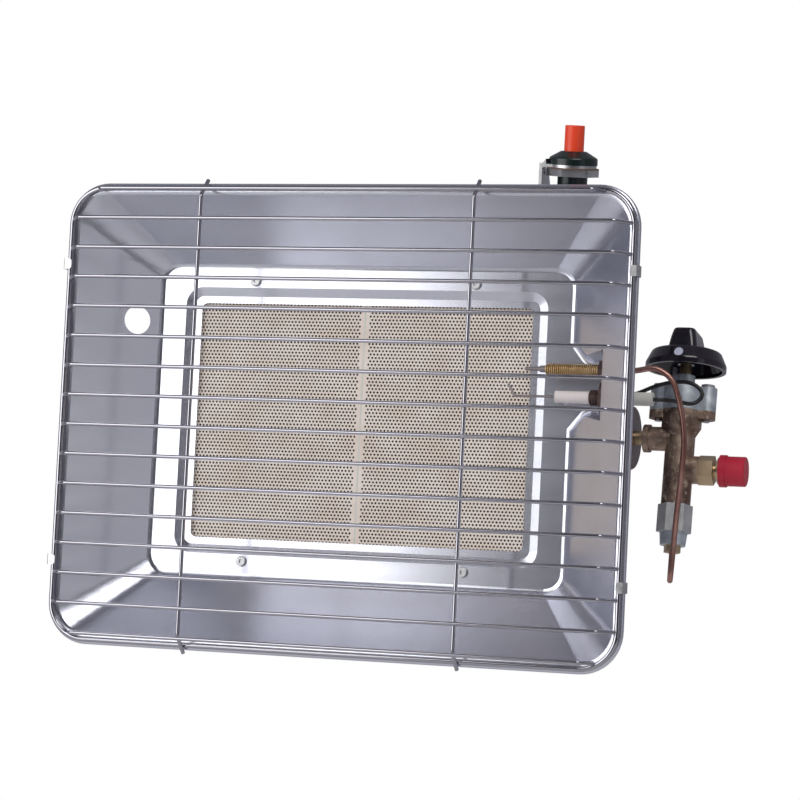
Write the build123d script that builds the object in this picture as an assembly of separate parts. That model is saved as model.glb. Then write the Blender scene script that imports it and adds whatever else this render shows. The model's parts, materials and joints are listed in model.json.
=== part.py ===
from build123d import *
import os
from math import cos, hypot, radians, sin, sqrt, tan

# A portable propane radiant heater: a pressed reflector with two ceramic burner tiles behind a
# wire guard, fed by a gas valve on its right side, lit by a piezo igniter at its top and carried
# by a tilting post holder at its back.
#
# Working frame, in millimetres: origin at the centre of the rim's front plane, +X to the right of
# somebody facing the heater, +Y towards its back, +Z up. The finished pieces are moved so that the
# row frame's origin is the centre of the post holder's open lower end.

# ---------------------------------------------------------------- driving dimensions

# Reflector, a pressed sheet dish
SHEET = 1.0
RIM_W, RIM_H, RIM_CORNER = 300.0, 235.0, 21.0
RIM_FLANGE = 5.0
BEAD_R = 1.5
BEAD_DEPTH = 1.4
MOUTH_FILLET = 3.0
DISH_DEPTH = 33.5
FLOOR_W, FLOOR_PAST_BOX, FLOOR_CORNER = 221.0, 11.0, 10.0
FLOOR_FILLET = 3.4
STEP_IN_X, STEP_IN_Z, STEP_CORNER = 0.6, 0.0, 9.0
STEP_SINK = 2.0
STEP_SLOPE = 4.5
LIP_W = 3.6
WINDOW_CORNER = 3.0
LIGHTING_HOLE_R = 7.25
LIGHTING_HOLE_Z = 49.8
LIGHTING_HOLE_DEPTH = 24.4

# Pocket in the right wall, where the sensor and the electrode pass through
POCKET_WALL_X = 130.6
POCKET_TOP, POCKET_BOTTOM = 34.4, 9.2
POCKET_FLARE = 11.0
POCKET_FLARE_X = 119.0
POCKET_FRONT = 10.0
POCKET_BEND, POCKET_DRAFT = 6.0, 14.0

# Burner
TILE_W, TILE_H, TILE_T = 92.0, 132.0, 13.0
TILE_JOINT = 1.0
SEAL = 1.0
SEAL_X, SEAL_Z, BOX_BACK = 5.0, 2.5, 78.0
BOX_CORNER = 4.0
BOX_MARGIN = 9.0
BOX_BEND = 2.0
SUPPORT_SHEET = 1.2
SUPPORT_LEDGE = 10.0
BURNER_SCREW_X, BURNER_SCREW_OUT = 59.0, 3.4
BURNER_SCREW_R, BURNER_SCREW_HEAD_R, BURNER_SCREW_HEAD = 1.5, 2.7, 1.4
BURNER_SCREW_LENGTH = 6.0

# Guard
FRAME_WIRE_R = 1.4
FRAME_INSET = 2.6
ROD_R = 1.0
ROD_COUNT = 16
ROD_PITCH = 15.0
ROD_OFFSET = 0.9
GUARD_FRONT = 11.5
ROD_CRANK = 7.6
ROD_SEAT = 1.2
ROD_BEND = 2.5
UPRIGHT_X = (-74.0, 69.0)
UPRIGHT_GAP = 0.05
CLIP_Z = 75.5
CLIP_H, CLIP_SHEET, CLIP_GAP = 5.3, 0.5, 0.1
CLIP_REACH, CLIP_CORNER = 4.4, 1.6

# Thermocouple and electrode, both through the pocket's end wall
PROBE_DEPTH = 24.0
SENSOR_Z, ELECTRODE_Z = 29.6, 16.1
SENSOR_SLEEVE_R = 2.8
SENSOR_SLEEVE_END = 99.9
SENSOR_SHANK_R, SENSOR_SHANK_L = 1.75, 3.0
SENSOR_TIP_R = 1.0
SENSOR_TIP_END, TIP_ROUND_SHARE = 89.0, 0.8
SENSOR_NUT_AF, SENSOR_NUT_T = 9.0, 3.4
SENSOR_TAIL = 7.0
CERAMIC_R, CERAMIC_END = 3.05, 105.3
CERAMIC_TAIL_R, CERAMIC_TAIL = 2.4, 14.4
ELECTRODE_WIRE_R = 0.6
ELECTRODE_KNEE_X, ELECTRODE_TIP_X, ELECTRODE_TIP_RISE = 84.2, 81.0, 5.9
PLATE_H, PLATE_W, PLATE_T = 14.8, 10.0, 2.8
FERRULE_R, FERRULE_L, FERRULE_RIBS, FERRULE_GROOVE = 3.95, 5.2, 4, 0.35
RIVET_R, RIVET_HEAD_R, RIVET_HEAD, RIVET_PITCH = 0.9, 1.5, 0.7, 11.2
BOOT_R, BOOT_START, BOOT_END = 3.3, 139.0, 154.2
HOLE_CLEARANCE = 0.1

# Copper line from the thermocouple to the magnet unit, and the free ignition lead
CAPILLARY_R = 1.4
LINE_LOOP = 14.8
LEAD_R, LEAD_START, LEAD_END = 1.0, 9.0, 6.2
RUN_SHARE = 0.45

# Piezo igniter, leaning forward and a little to the right
PIEZO_X, PIEZO_DEPTH, PIEZO_Z = 108.3, 26.0, 132.6
PIEZO_FORWARD, PIEZO_SIDE = 10.0, 3.1
PIEZO_FLANGE_R, PIEZO_FLANGE_T, PIEZO_DOME = 12.0, 3.4, 3.3
PIEZO_EDGE_ROUND = 1.6
PIEZO_BODY_R, PIEZO_BODY_L = 7.4, 36.0
PIEZO_BORE_R, PIEZO_MOUTH_R = 5.4, 6.3
PIEZO_FLOOR_T, PIEZO_LEDGE_T = 2.0, 1.0
BUTTON_R, BUTTON_UP, BUTTON_CLEARANCE = 4.85, 12.7, 0.1
BUTTON_STEM_L, BUTTON_COLLAR_R, BUTTON_COLLAR_T, BUTTON_ROUND = 18.0, 5.3, 2.0, 0.5
PIEZO_PLATE_R, PIEZO_PLATE_T, PIEZO_WASHER_T, PIEZO_NUT_T = 11.6, 1.5, 0.6, 3.6
PIEZO_WASHER_R, PIEZO_NUT_CORNER_R, PIEZO_NUT_TURN = 12.8, 12.9, 20.0
PIEZO_ARM_X, PIEZO_ARM_W = 15.5, 13.0
ARM_DROP, ARM_CREST, ARM_LAP, ARM_GAP = 1.8, 2.5, 0.3, 0.2
DIMPLE_R, DIMPLE_DEPTH, DIMPLE_DROP, DIMPLE_FORWARD = 1.0, 0.9, 3.0, 1.6
PIEZO_FOOT_L, FOOT_GAP = 24.0, 2.0
ARM_KNEE_BACK, ARM_KNEE_FRONT, ARM_KNEE_TOP = 27.5, 15.5, 18.5
SPRING_WIRE_R, SPRING_TURNS, SPRING_PLAY = 0.4, 6, 0.3
TERMINAL_R, TERMINAL_L = 2.2, 5.0

# Valve, turned a little on its outlet so that the knob leans back
VALVE_X, VALVE_DEPTH, VALVE_Z, VALVE_LEAN = 160.0, 62.0, -0.9, 8.5
BODY_R, BELL_R, BODY_BOTTOM, BODY_TOP = 7.3, 9.9, -33.2, 14.2
BELL_LOW, BELL_HIGH = 1.5, 6.0
OUTLET_R, OUTLET_COLLAR_R, OUTLET_COLLAR, OUTLET_END = 6.0, 7.0, 3.0, 18.2
OUTLET_BORE_END = 8.0
INLET_Z, INLET_R, INLET_END = -15.2, 6.9, 10.6
EAR_X, EAR_R, EAR_T = 12.0, 4.7, 4.0
CAP_R, CAP_T = 10.2, 12.0
CAP_SCREW_R, CAP_SCREW_HEAD_R, CAP_SCREW_HEAD = 1.9, 3.4, 1.6
CAP_SCREW_PAST, CAP_SCREW_SLOT = 1.2, 0.8
CHAMBER_R, CHAMBER_ROOF = 6.0, 23.2
NECK_R, NECK_TOP = 5.05, 32.4
STOP_IN, STOP_OUT, STOP_W, STOP_TOP = 4.5, 6.1, 3.0, 36.4
PLUG_R, PLUG_BOTTOM, PLUG_TOP, PLUG_CLEARANCE = 6.0, -3.0, 9.0, 0.05
PLUG_BORE_R, GAS_WAY_R = 2.5, 1.8
SPINDLE_R, SPINDLE_END, SPINDLE_TOP = 3.0, 3.5, 45.5
SPINDLE_COLLAR_R, SPINDLE_COLLAR = 4.6, 2.0
KNOB_R, KNOB_BOTTOM, KNOB_RIM, KNOB_WALL = 20.2, 35.3, 2.7, 2.0
KNOB_SHOULDER_R, KNOB_SHOULDER, KNOB_CROWN_R, KNOB_TOP = 17.3, 44.2, 9.5, 46.6
KNOB_ROUND, KNOB_ROOF = 2.0, 42.0
HUB_R, HUB_BOTTOM = 4.2, 38.0
GRIP_L, GRIP_LOW, GRIP_TOP, GRIP_DRAFT = 26.4, 43.0, 54.8, 2.0
GRIP_LOW_W, GRIP_MID_W, GRIP_TOP_W = 14.6, 13.2, 10.4
GRIP_CORNER, GRIP_ROUND = 3.0, 1.4
MAGNET_NUT_CORNER_R, MAGNET_NUT_BOTTOM, MAGNET_NUT_TURN = 8.65, -46.9, 12.0
MAGNET_R, MAGNET_BOTTOM, MAGNET_CORE_R, MAGNET_CORE_TOP = 6.9, -53.4, 4.9, -22.0
MAGNET_TAPER, MAGNET_CORE_GAP = 0.6, 2.0
MAGNET_BORE_R, MAGNET_BORE_L = 3.0, 5.0
LINE_NUT_CORNER_R, LINE_NUT_T = 4.25, 3.6
FITTING_SPIGOT_R, FITTING_SPIGOT_L = 4.5, 6.0
FITTING_CORNER_R, FITTING_HEX_L = 7.5, 7.7
FITTING_NECK_R, FITTING_NECK_L = 3.6, 1.9
INLET_THREAD_R, INLET_THREAD_L = 6.58, 12.0
INLET_BORE_R = 2.5
CAP_START, CAP_COLLAR_R, CAP_COLLAR_L, CAP_SHELL_R, CAP_END = 21.2, 8.0, 3.2, 7.4, 34.1
CAP_FLOOR, CAP_EDGE = 1.6, 0.5
CAP_FIT = 0.1

# Air cup and mixing tube on the outlet axis
CUP_R, CUP_L, CUP_SHEET = 16.0, 24.0, 1.2
CUP_GAP = 4.7
CUP_WINDOW_L, CUP_WINDOW_W = 13.0, 15.0
TUBE_R, TUBE_WALL, TUBE_END = 10.0, 1.0, -20.0
INJECTOR_R, INJECTOR_TIP_R, INJECTOR_TIP_L = 3.6, 1.9, 8.4
INJECTOR_NUT_CORNER_R, INJECTOR_NUT_T = 6.6, 2.6
JET_R = 0.35

# Back bracket and post holder
BRACKET_T, BRACKET_W, BRACKET_H = 2.5, 60.0, 52.0
BRACKET_RIVET_X, BRACKET_RIVET_Z, BRACKET_RIVET_R = 22.0, 18.0, 2.0
BRACKET_RIVET_HEAD_R, BRACKET_RIVET_HEAD = 3.8, 1.5
PIVOT_DEPTH, PIVOT_Z = 108.0, 0.0
LUG_T, LUG_R, LUG_GAP = 12.0, 11.0, 0.3
EAR_PLATE_T, EAR_PLATE_R = 2.5, 12.0
NECK_BOTTOM = -36.0
SOCKET_R, SOCKET_BORE_R, SOCKET_TOP, SOCKET_MOUTH = 13.65, 11.15, -40.0, -92.0
BOLT_R, BOLT_CLEARANCE, BOLT_HEAD_CORNER_R, BOLT_HEAD = 4.0, 0.05, 7.5, 5.3
BOLT_LENGTH = 34.0
WING_HUB_R, WING_HUB_T, WING_SPAN, WING_T, WING_RISE = 6.5, 7.0, 17.0, 2.6, 13.0
WING_ROOT, WING_LIFT, WING_TIP, WING_ROUND = 2.5, 0.5, 6.0, 1.5
CLAMP_R, CLAMP_BOSS_R, CLAMP_BOSS_OUT, CLAMP_Z = 2.5, 6.0, 20.0, -72.0
CLAMP_HEAD_R, CLAMP_HEAD_T, CLAMP_HEAD_GAP, CLAMP_LOBES = 9.0, 7.0, 5.0, 6

# ---------------------------------------------------------------- derived places

TILES_W = 2 * TILE_W + TILE_JOINT
BOX_W, BOX_H = TILES_W + 2 * SEAL_X, TILE_H + 2 * SEAL_Z
FLOOR_H = BOX_H + 2 * FLOOR_PAST_BOX
STEP_W, STEP_H = BOX_W - 2 * STEP_IN_X, BOX_H - 2 * STEP_IN_Z
BURNER_SCREW_Z = BOX_H / 2 + BURNER_SCREW_OUT
MOUTH_W, MOUTH_H = RIM_W - 2 * RIM_FLANGE, RIM_H - 2 * RIM_FLANGE
MOUTH_CORNER = RIM_CORNER - RIM_FLANGE
LIP_DEPTH = DISH_DEPTH + STEP_SINK
LIP_OUT_W, LIP_OUT_H = STEP_W - 2 * STEP_SLOPE, STEP_H - 2 * STEP_SLOPE
WINDOW_W, WINDOW_H = LIP_OUT_W - 2 * LIP_W, LIP_OUT_H - 2 * LIP_W
TILE_FRONT = LIP_DEPTH + SHEET + SEAL
TILE_BACK = TILE_FRONT + TILE_T
FLOOR_BACK = DISH_DEPTH + SHEET
FRAME_W, FRAME_H = RIM_W - 2 * FRAME_INSET, RIM_H - 2 * FRAME_INSET
FRAME_CORNER = RIM_CORNER - FRAME_INSET
SOCKET_CENTRE = Vector(0, PIVOT_DEPTH, SOCKET_MOUTH)
VALVE = Plane(
    origin=(VALVE_X, VALVE_DEPTH, VALVE_Z),
    x_dir=(1, 0, 0),
    z_dir=(0, sin(radians(VALVE_LEAN)), cos(radians(VALVE_LEAN))),
).location
PIEZO_LEAN = Plane(origin=(PIEZO_X, PIEZO_DEPTH, PIEZO_Z)).location * Rot(0, PIEZO_SIDE, 0)
PIEZO = PIEZO_LEAN * Rot(PIEZO_FORWARD, 0, 0)


# ---------------------------------------------------------------- helpers

def across(depth):
    """Plane across the heater at a depth behind the rim: local x is +X and local y is +Z."""
    return Plane(origin=(0, depth, 0), x_dir=(1, 0, 0), z_dir=(0, -1, 0))


def slab(outline, front, back):
    """Flat solid with an (x, z) outline between two depths."""
    return extrude(across(back) * outline, back - front)


def bar(start, end, radius):
    """Round bar between two points."""
    run = Vector(*end) - Vector(*start)
    return extrude(Plane(origin=start, z_dir=run) * Circle(radius), run.length)


def turned(profile):
    """Solid turned about the local Z axis from (radius, height) points."""
    return revolve(Plane.XZ * make_face(Polyline(*profile, close=True)), Axis.Z)


def hexagon(corner_radius, bottom, top):
    """Hexagonal prism along local Z."""
    return extrude(Plane.XY.offset(bottom) * RegularPolygon(corner_radius, 6), top - bottom)


def cylinder(radius, bottom, top):
    """Cylinder along local Z."""
    return extrude(Plane.XY.offset(bottom) * Circle(radius), top - bottom)


def along_x(shape, x, depth, z):
    """Puts a shape built along local Z onto an axis that runs towards +X."""
    return Pos(x, depth, z) * Rot(0, 90, 0) * shape


def bend_radii(points):
    """Largest even bend at each corner: its arc takes the same share of the shorter run."""
    radii = []
    for before, corner, after in zip(points, points[1:], points[2:]):
        run_in, run_out = Vector(*corner) - Vector(*before), Vector(*after) - Vector(*corner)
        half_turn = radians(run_in.get_angle(run_out) / 2)
        radii.append(RUN_SHARE * min(run_in.length, run_out.length) / tan(half_turn))
    return radii


def bent_line(points, radius):
    """Tube along straight runs joined by tangent arcs, as large as the runs allow."""
    path = FilletPolyline(*points, radius=bend_radii(points))
    return sweep(Plane(origin=path @ 0, z_dir=path % 0) * Circle(radius), path=path)


def bent_rod(points, radius, bend):
    """Wire with the same bend at each corner."""
    path = FilletPolyline(*points, radius=bend)
    return sweep(Plane(origin=path @ 0, z_dir=path % 0) * Circle(radius), path=path)


def wire_ring(width, height, corner, depth, radius):
    """Closed ring of round wire with rounded corners."""
    path = (across(depth) * RectangleRounded(width, height, corner)).wire()
    return sweep(Plane(origin=path @ 0, z_dir=path % 0) * Circle(radius), path=path)


def coil(radius, wire, bottom, top, turns):
    """Open helical spring along local Z."""
    path = Pos(0, 0, bottom) * Helix((top - bottom) / turns, top - bottom, radius)
    return sweep(Plane(origin=path @ 0, z_dir=path % 0) * Circle(wire), path=path)


def frame_ring(outer, corner, inner, inner_corner):
    """Rectangular ring outline."""
    return RectangleRounded(*outer, corner) - RectangleRounded(*inner, inner_corner)


# ---------------------------------------------------------------- reflector

def skew(run, rise, thickness):
    """Sideways growth of a slanted wall at its front and back planes for a sheet thickness."""
    slant = hypot(run, rise)
    return thickness * slant / rise, thickness * (slant - run) / rise


def dish(grow):
    """Volume inside the dish, or inside the outer face of its sheet when grow is the sheet."""
    mouth_x, floor_x = skew((MOUTH_W - FLOOR_W) / 2, DISH_DEPTH, grow)
    mouth_z, floor_z = skew((MOUTH_H - FLOOR_H) / 2, DISH_DEPTH, grow)
    mouth = RectangleRounded(MOUTH_W + 2 * mouth_x, MOUTH_H + 2 * mouth_z, MOUTH_CORNER + mouth_x)
    floor = RectangleRounded(FLOOR_W + 2 * floor_x, FLOOR_H + 2 * floor_z, FLOOR_CORNER + floor_x)
    volume = loft([across(0) * mouth, across(DISH_DEPTH + grow) * floor])
    floor_edges = volume.faces().sort_by(Axis.Y)[-1].edges()
    return fillet(floor_edges, FLOOR_FILLET + grow)


def step(grow):
    """Shallow sunk panel round the window, inside or outside its sheet."""
    side = skew(STEP_SLOPE, STEP_SINK, grow)[1]
    top = RectangleRounded(STEP_W + 2 * side, STEP_H + 2 * side, STEP_CORNER + side)
    lip_corner = STEP_CORNER - STEP_SLOPE + side
    lip = RectangleRounded(LIP_OUT_W + 2 * side, LIP_OUT_H + 2 * side, lip_corner)
    return loft([across(DISH_DEPTH + grow) * top, across(LIP_DEPTH + grow) * lip])


def pocket(grow):
    """Pocket in the right wall with flared and drafted flanks, inside or outside its sheet."""
    start = FLOOR_W / 2 - POCKET_FLARE
    hip = FLOOR_W / 2
    past_wall = POCKET_WALL_X + POCKET_FLARE
    outline = Polyline(
        (start, POCKET_TOP + POCKET_FLARE), (hip, POCKET_TOP + POCKET_FLARE),
        (POCKET_FLARE_X, POCKET_TOP), (past_wall, POCKET_TOP),
        (past_wall, POCKET_BOTTOM), (POCKET_FLARE_X, POCKET_BOTTOM),
        (hip, POCKET_BOTTOM - POCKET_FLARE), (start, POCKET_BOTTOM - POCKET_FLARE), close=True,
    )
    face = make_face(outline)
    bends = face.vertices().filter_by(lambda corner: start < corner.X < past_wall)
    face = fillet(bends, POCKET_BEND)
    if grow:
        face = offset(face, amount=grow, kind=Kind.INTERSECTION)
    depth = DISH_DEPTH + grow
    volume = extrude(across(depth) * face, depth - POCKET_FRONT, taper=-POCKET_DRAFT)
    floor_edges = volume.faces().sort_by(Axis.Y)[-1].edges()
    flanks = floor_edges.filter_by(lambda edge: start + 1 < edge.center().X < past_wall - 1)
    volume = fillet(flanks, FLOOR_FILLET + grow)
    return split(volume, Plane.YZ.offset(POCKET_WALL_X + grow), keep=Keep.BOTTOM)


def wall_point(x_side, depth):
    """Middle of the sheet of a side wall at a depth, and the wall's outward direction."""
    run = (MOUTH_W - FLOOR_W) / 2
    normal = Vector(x_side * DISH_DEPTH, run, 0).normalized()
    return Vector(x_side * (MOUTH_W / 2 - run * depth / DISH_DEPTH), depth, 0), normal


def reflector():
    inside = dish(0) + pocket(0) + step(0)
    outside = dish(SHEET) + pocket(SHEET) + step(SHEET)
    flange = RectangleRounded(RIM_W - 2 * BEAD_R, RIM_H - 2 * BEAD_R, RIM_CORNER - BEAD_R)
    sheet = slab(flange, 0, SHEET) + outside - inside
    window = RectangleRounded(WINDOW_W, WINDOW_H, WINDOW_CORNER)
    sheet -= slab(window, DISH_DEPTH, LIP_DEPTH + 2 * SHEET)
    mouth_edges = [
        edge for edge in sheet.edges()
        if abs(edge.center().Y) < 0.01 and abs(edge.bounding_box().max.Y) < 0.01
        and edge.bounding_box().max.X < MOUTH_W / 2 + 0.01
        and edge.bounding_box().min.X > -MOUTH_W / 2 - 0.01
        and edge.bounding_box().max.Z < MOUTH_H / 2 + 0.01
        and edge.bounding_box().min.Z > -MOUTH_H / 2 - 0.01
    ]
    sheet = fillet(mouth_edges, MOUTH_FILLET)
    sheet += wire_ring(
        RIM_W - 2 * BEAD_R, RIM_H - 2 * BEAD_R, RIM_CORNER - BEAD_R, BEAD_DEPTH, BEAD_R
    )
    centre, normal = wall_point(-1, LIGHTING_HOLE_DEPTH)
    centre += Vector(0, 0, LIGHTING_HOLE_Z)
    reach = 6 * SHEET
    sheet -= bar(tuple(centre - normal * reach), tuple(centre + normal * reach), LIGHTING_HOLE_R)
    wall_cut = (POCKET_WALL_X - SHEET, POCKET_WALL_X + 2 * SHEET)
    for z, radius in ((SENSOR_Z, SENSOR_SLEEVE_R), (ELECTRODE_Z, CERAMIC_TAIL_R)):
        sheet -= bar((wall_cut[0], PROBE_DEPTH, z), (wall_cut[1], PROBE_DEPTH, z),
                     radius + HOLE_CLEARANCE)
    for z in electrode_rivet_heights():
        sheet -= bar((wall_cut[0], PROBE_DEPTH, z), (wall_cut[1], PROBE_DEPTH, z), RIVET_R)
    for x, z in burner_screw_places():
        sheet -= bar((x, DISH_DEPTH - SHEET, z), (x, FLOOR_BACK + SHEET, z),
                     BURNER_SCREW_R + HOLE_CLEARANCE)
    return sheet


# ---------------------------------------------------------------- burner

def burner_screw_places():
    return [(x, z) for x in (-BURNER_SCREW_X, BURNER_SCREW_X)
            for z in (-BURNER_SCREW_Z, BURNER_SCREW_Z)]


def burner_box():
    """Pressed pan with an outward flange behind the reflector's floor."""
    flange_back = FLOOR_BACK + SHEET
    flange = RectangleRounded(BOX_W + 2 * BOX_MARGIN, BOX_H + 2 * BOX_MARGIN, BOX_CORNER + BOX_MARGIN)
    inner = RectangleRounded(BOX_W, BOX_H, BOX_CORNER)
    outer = RectangleRounded(BOX_W + 2 * SHEET, BOX_H + 2 * SHEET, BOX_CORNER + SHEET)
    pan = slab(flange, FLOOR_BACK, flange_back) + slab(outer, FLOOR_BACK, BOX_BACK + SHEET)
    back_edges = pan.faces().sort_by(Axis.Y)[-1].edges()
    pan = fillet(back_edges, BOX_BEND + SHEET)
    hollow = slab(inner, FLOOR_BACK, BOX_BACK)
    hollow = fillet(hollow.faces().sort_by(Axis.Y)[-1].edges(), BOX_BEND)
    pan -= hollow
    throat = [
        edge for edge in pan.edges()
        if abs(edge.center().Y - FLOOR_BACK) < 0.01
        and edge.bounding_box().max.X < BOX_W / 2 + 0.01
        and edge.bounding_box().min.X > -BOX_W / 2 - 0.01
        and edge.bounding_box().max.Z < BOX_H / 2 + 0.01
        and edge.bounding_box().min.Z > -BOX_H / 2 - 0.01
    ]
    pan = chamfer(throat, SHEET * 0.8)
    pan -= bar((BOX_W / 2 - SHEET, VALVE_DEPTH, VALVE_Z), (BOX_W / 2 + 2 * SHEET, VALVE_DEPTH, VALVE_Z),
               TUBE_R)
    for x, z in burner_screw_places():
        pan -= bar((x, FLOOR_BACK - SHEET, z), (x, flange_back + SHEET, z), BURNER_SCREW_R)
    for x, z in bracket_rivet_places():
        pan -= bar((x, BOX_BACK - SHEET, z), (x, BOX_BACK + 2 * SHEET, z), BRACKET_RIVET_R)
    for x, y in foot_screw_places():
        pan -= bar((x, y, BOX_H / 2 - SHEET), (x, y, BOX_H / 2 + 2 * SHEET), BURNER_SCREW_R)
    return pan


def tile(side):
    """One burner tile, left (-1) or right (1)."""
    centre = side * (TILE_W + TILE_JOINT) / 2
    return slab(Pos(centre, 0) * Rectangle(TILE_W, TILE_H), TILE_FRONT, TILE_BACK)


def tile_gasket():
    """Fibre seal that lines the box round both tiles, with a strip between them."""
    ring = frame_ring((BOX_W, BOX_H), BOX_CORNER, (TILES_W, TILE_H), WINDOW_CORNER / 2)
    seal = slab(ring, TILE_FRONT, TILE_BACK)
    seal += slab(Rectangle(TILE_JOINT, TILE_H), TILE_FRONT, TILE_BACK)
    lip = frame_ring((LIP_OUT_W, LIP_OUT_H), STEP_CORNER - STEP_SLOPE, (WINDOW_W + 1, WINDOW_H + 1),
                     WINDOW_CORNER)
    seal += slab(lip, LIP_DEPTH + SHEET, TILE_FRONT)
    corner_fill = Rectangle(TILES_W, TILE_H) - RectangleRounded(TILES_W, TILE_H, WINDOW_CORNER / 2)
    return seal - slab(corner_fill, TILE_FRONT, TILE_BACK)


def tile_support():
    """Folded frame that stands on the box's back and carries the tiles' edges."""
    ledge_w, ledge_h = BOX_W - 2 * SUPPORT_LEDGE, BOX_H - 2 * SUPPORT_LEDGE
    wall_w, wall_h = BOX_W - 2 * SUPPORT_SHEET, BOX_H - 2 * SUPPORT_SHEET
    wall_corner = BOX_CORNER - SUPPORT_SHEET
    ledge = frame_ring((BOX_W, BOX_H), BOX_CORNER, (ledge_w, ledge_h), BOX_CORNER)
    wall = frame_ring((BOX_W, BOX_H), BOX_CORNER, (wall_w, wall_h), wall_corner)
    frame = slab(ledge, TILE_BACK, TILE_BACK + SUPPORT_SHEET)
    frame += slab(wall, TILE_BACK + SUPPORT_SHEET, BOX_BACK - BOX_BEND)
    return frame - bar((wall_w / 2 - SHEET, VALVE_DEPTH, VALVE_Z), (BOX_W, VALVE_DEPTH, VALVE_Z), TUBE_R)


def burner_screws():
    """Four pan-head screws with a hexagon socket."""
    head_front = DISH_DEPTH - BURNER_SCREW_HEAD
    solids = []
    for x, z in burner_screw_places():
        screw = bar((x, DISH_DEPTH, z), (x, DISH_DEPTH + BURNER_SCREW_LENGTH, z), BURNER_SCREW_R)
        head = bar((x, head_front, z), (x, DISH_DEPTH, z), BURNER_SCREW_HEAD_R)
        head = chamfer(head.faces().sort_by(Axis.Y)[0].edges(), BURNER_SCREW_HEAD / 3)
        recess = slab(Pos(x, z) * RegularPolygon(BURNER_SCREW_R * 0.75, 6), head_front,
                      head_front + BURNER_SCREW_HEAD * 0.6)
        solids.append((screw + head - recess).solid())
    return solids


# ---------------------------------------------------------------- guard

def ring_half_width(z):
    """Half width of the guard ring's centre line at a height, round its corners."""
    straight = FRAME_H / 2 - FRAME_CORNER
    past = max(abs(z) - straight, 0)
    return FRAME_W / 2 - FRAME_CORNER + sqrt(FRAME_CORNER**2 - past**2)


def ring_slope(z):
    """Sideways part of the ring's outward direction at a height."""
    past = max(abs(z) - (FRAME_H / 2 - FRAME_CORNER), 0)
    return sqrt(1 - (past / FRAME_CORNER) ** 2)


def guard_frame():
    return wire_ring(FRAME_W, FRAME_H, FRAME_CORNER, -FRAME_WIRE_R, FRAME_WIRE_R)


def rod_heights():
    middle = (ROD_COUNT - 1) / 2
    return [(middle - index) * ROD_PITCH + ROD_OFFSET for index in range(ROD_COUNT)]


def guard_rods():
    """Cross wires, cranked back at both ends to the ring."""
    rods = []
    for z in rod_heights():
        end = ring_half_width(abs(z) + ROD_R / 2) - ROD_SEAT / ring_slope(z)
        knee = ring_half_width(z) - ROD_CRANK
        seat = -FRAME_WIRE_R - ROD_SEAT
        points = [(-end, seat, z), (-knee, -GUARD_FRONT, z), (knee, -GUARD_FRONT, z), (end, seat, z)]
        rods.append(bent_rod(points, ROD_R, ROD_BEND).solid())
    return rods


def guard_uprights():
    """Two wires behind the cross wires, cranked back over the ring at top and bottom."""
    depth = -GUARD_FRONT + 2 * ROD_R
    past_ring = FRAME_H / 2 + FRAME_WIRE_R + (FRAME_WIRE_R + ROD_R + UPRIGHT_GAP) * sqrt(2)
    end, knee = past_ring - ROD_R, past_ring + depth
    wires = []
    for x in UPRIGHT_X:
        points = [(x, -ROD_R, end), (x, depth, knee), (x, depth, -knee), (x, -ROD_R, -end)]
        wires.append(bent_rod(points, ROD_R, ROD_BEND).solid())
    return wires


def guard_clips():
    """Sheet clips folded over the rim's bead and the ring, with rounded tongues."""
    front = -2 * FRAME_WIRE_R - CLIP_GAP
    back = BEAD_DEPTH + BEAD_R + CLIP_GAP
    edge = RIM_W / 2 + CLIP_GAP
    middle = (front + back) / 2
    outer = Pos(edge + CLIP_SHEET - CLIP_REACH / 2, middle) * Box(
        CLIP_REACH, back - front + 2 * CLIP_SHEET, CLIP_H)
    outer = fillet(outer.edges().filter_by(Axis.Z).sort_by(Axis.X)[2:], 2 * CLIP_SHEET)
    outer = fillet(outer.edges().filter_by(Axis.Y).sort_by(Axis.X)[:2], CLIP_CORNER)
    clip = outer - Pos(edge - CLIP_REACH, middle) * Box(2 * CLIP_REACH, back - front, 2 * CLIP_H)
    clips = []
    for z in (-CLIP_Z, CLIP_Z):
        placed = Pos(0, 0, z) * clip
        clips += [placed.solid(), mirror(placed, about=Plane.YZ).solid()]
    return clips


# ---------------------------------------------------------------- thermocouple and electrode

def thermocouple_sleeve():
    tail = POCKET_WALL_X + SENSOR_TAIL
    shank_end = SENSOR_SLEEVE_END + SENSOR_SHANK_L
    tube = bar((SENSOR_SLEEVE_END, PROBE_DEPTH, SENSOR_Z), (tail, PROBE_DEPTH, SENSOR_Z), SENSOR_SLEEVE_R)
    bore = bar((SENSOR_SLEEVE_END, PROBE_DEPTH, SENSOR_Z), (shank_end, PROBE_DEPTH, SENSOR_Z),
               SENSOR_SHANK_R)
    line = bar((tail - SENSOR_SLEEVE_R, PROBE_DEPTH, SENSOR_Z), (tail, PROBE_DEPTH, SENSOR_Z), CAPILLARY_R)
    return tube - bore - line


def thermocouple_tip():
    """Thin probe on a thicker shank that is seated in the sleeve."""
    shank_start = SENSOR_SLEEVE_END - SENSOR_SHANK_L
    shank_end = SENSOR_SLEEVE_END + SENSOR_SHANK_L
    tip = bar((SENSOR_TIP_END, PROBE_DEPTH, SENSOR_Z), (shank_start, PROBE_DEPTH, SENSOR_Z), SENSOR_TIP_R)
    tip = fillet(tip.faces().sort_by(Axis.X)[0].edges(), SENSOR_TIP_R * TIP_ROUND_SHARE)
    return tip + bar((shank_start, PROBE_DEPTH, SENSOR_Z), (shank_end, PROBE_DEPTH, SENSOR_Z), SENSOR_SHANK_R)


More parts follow.
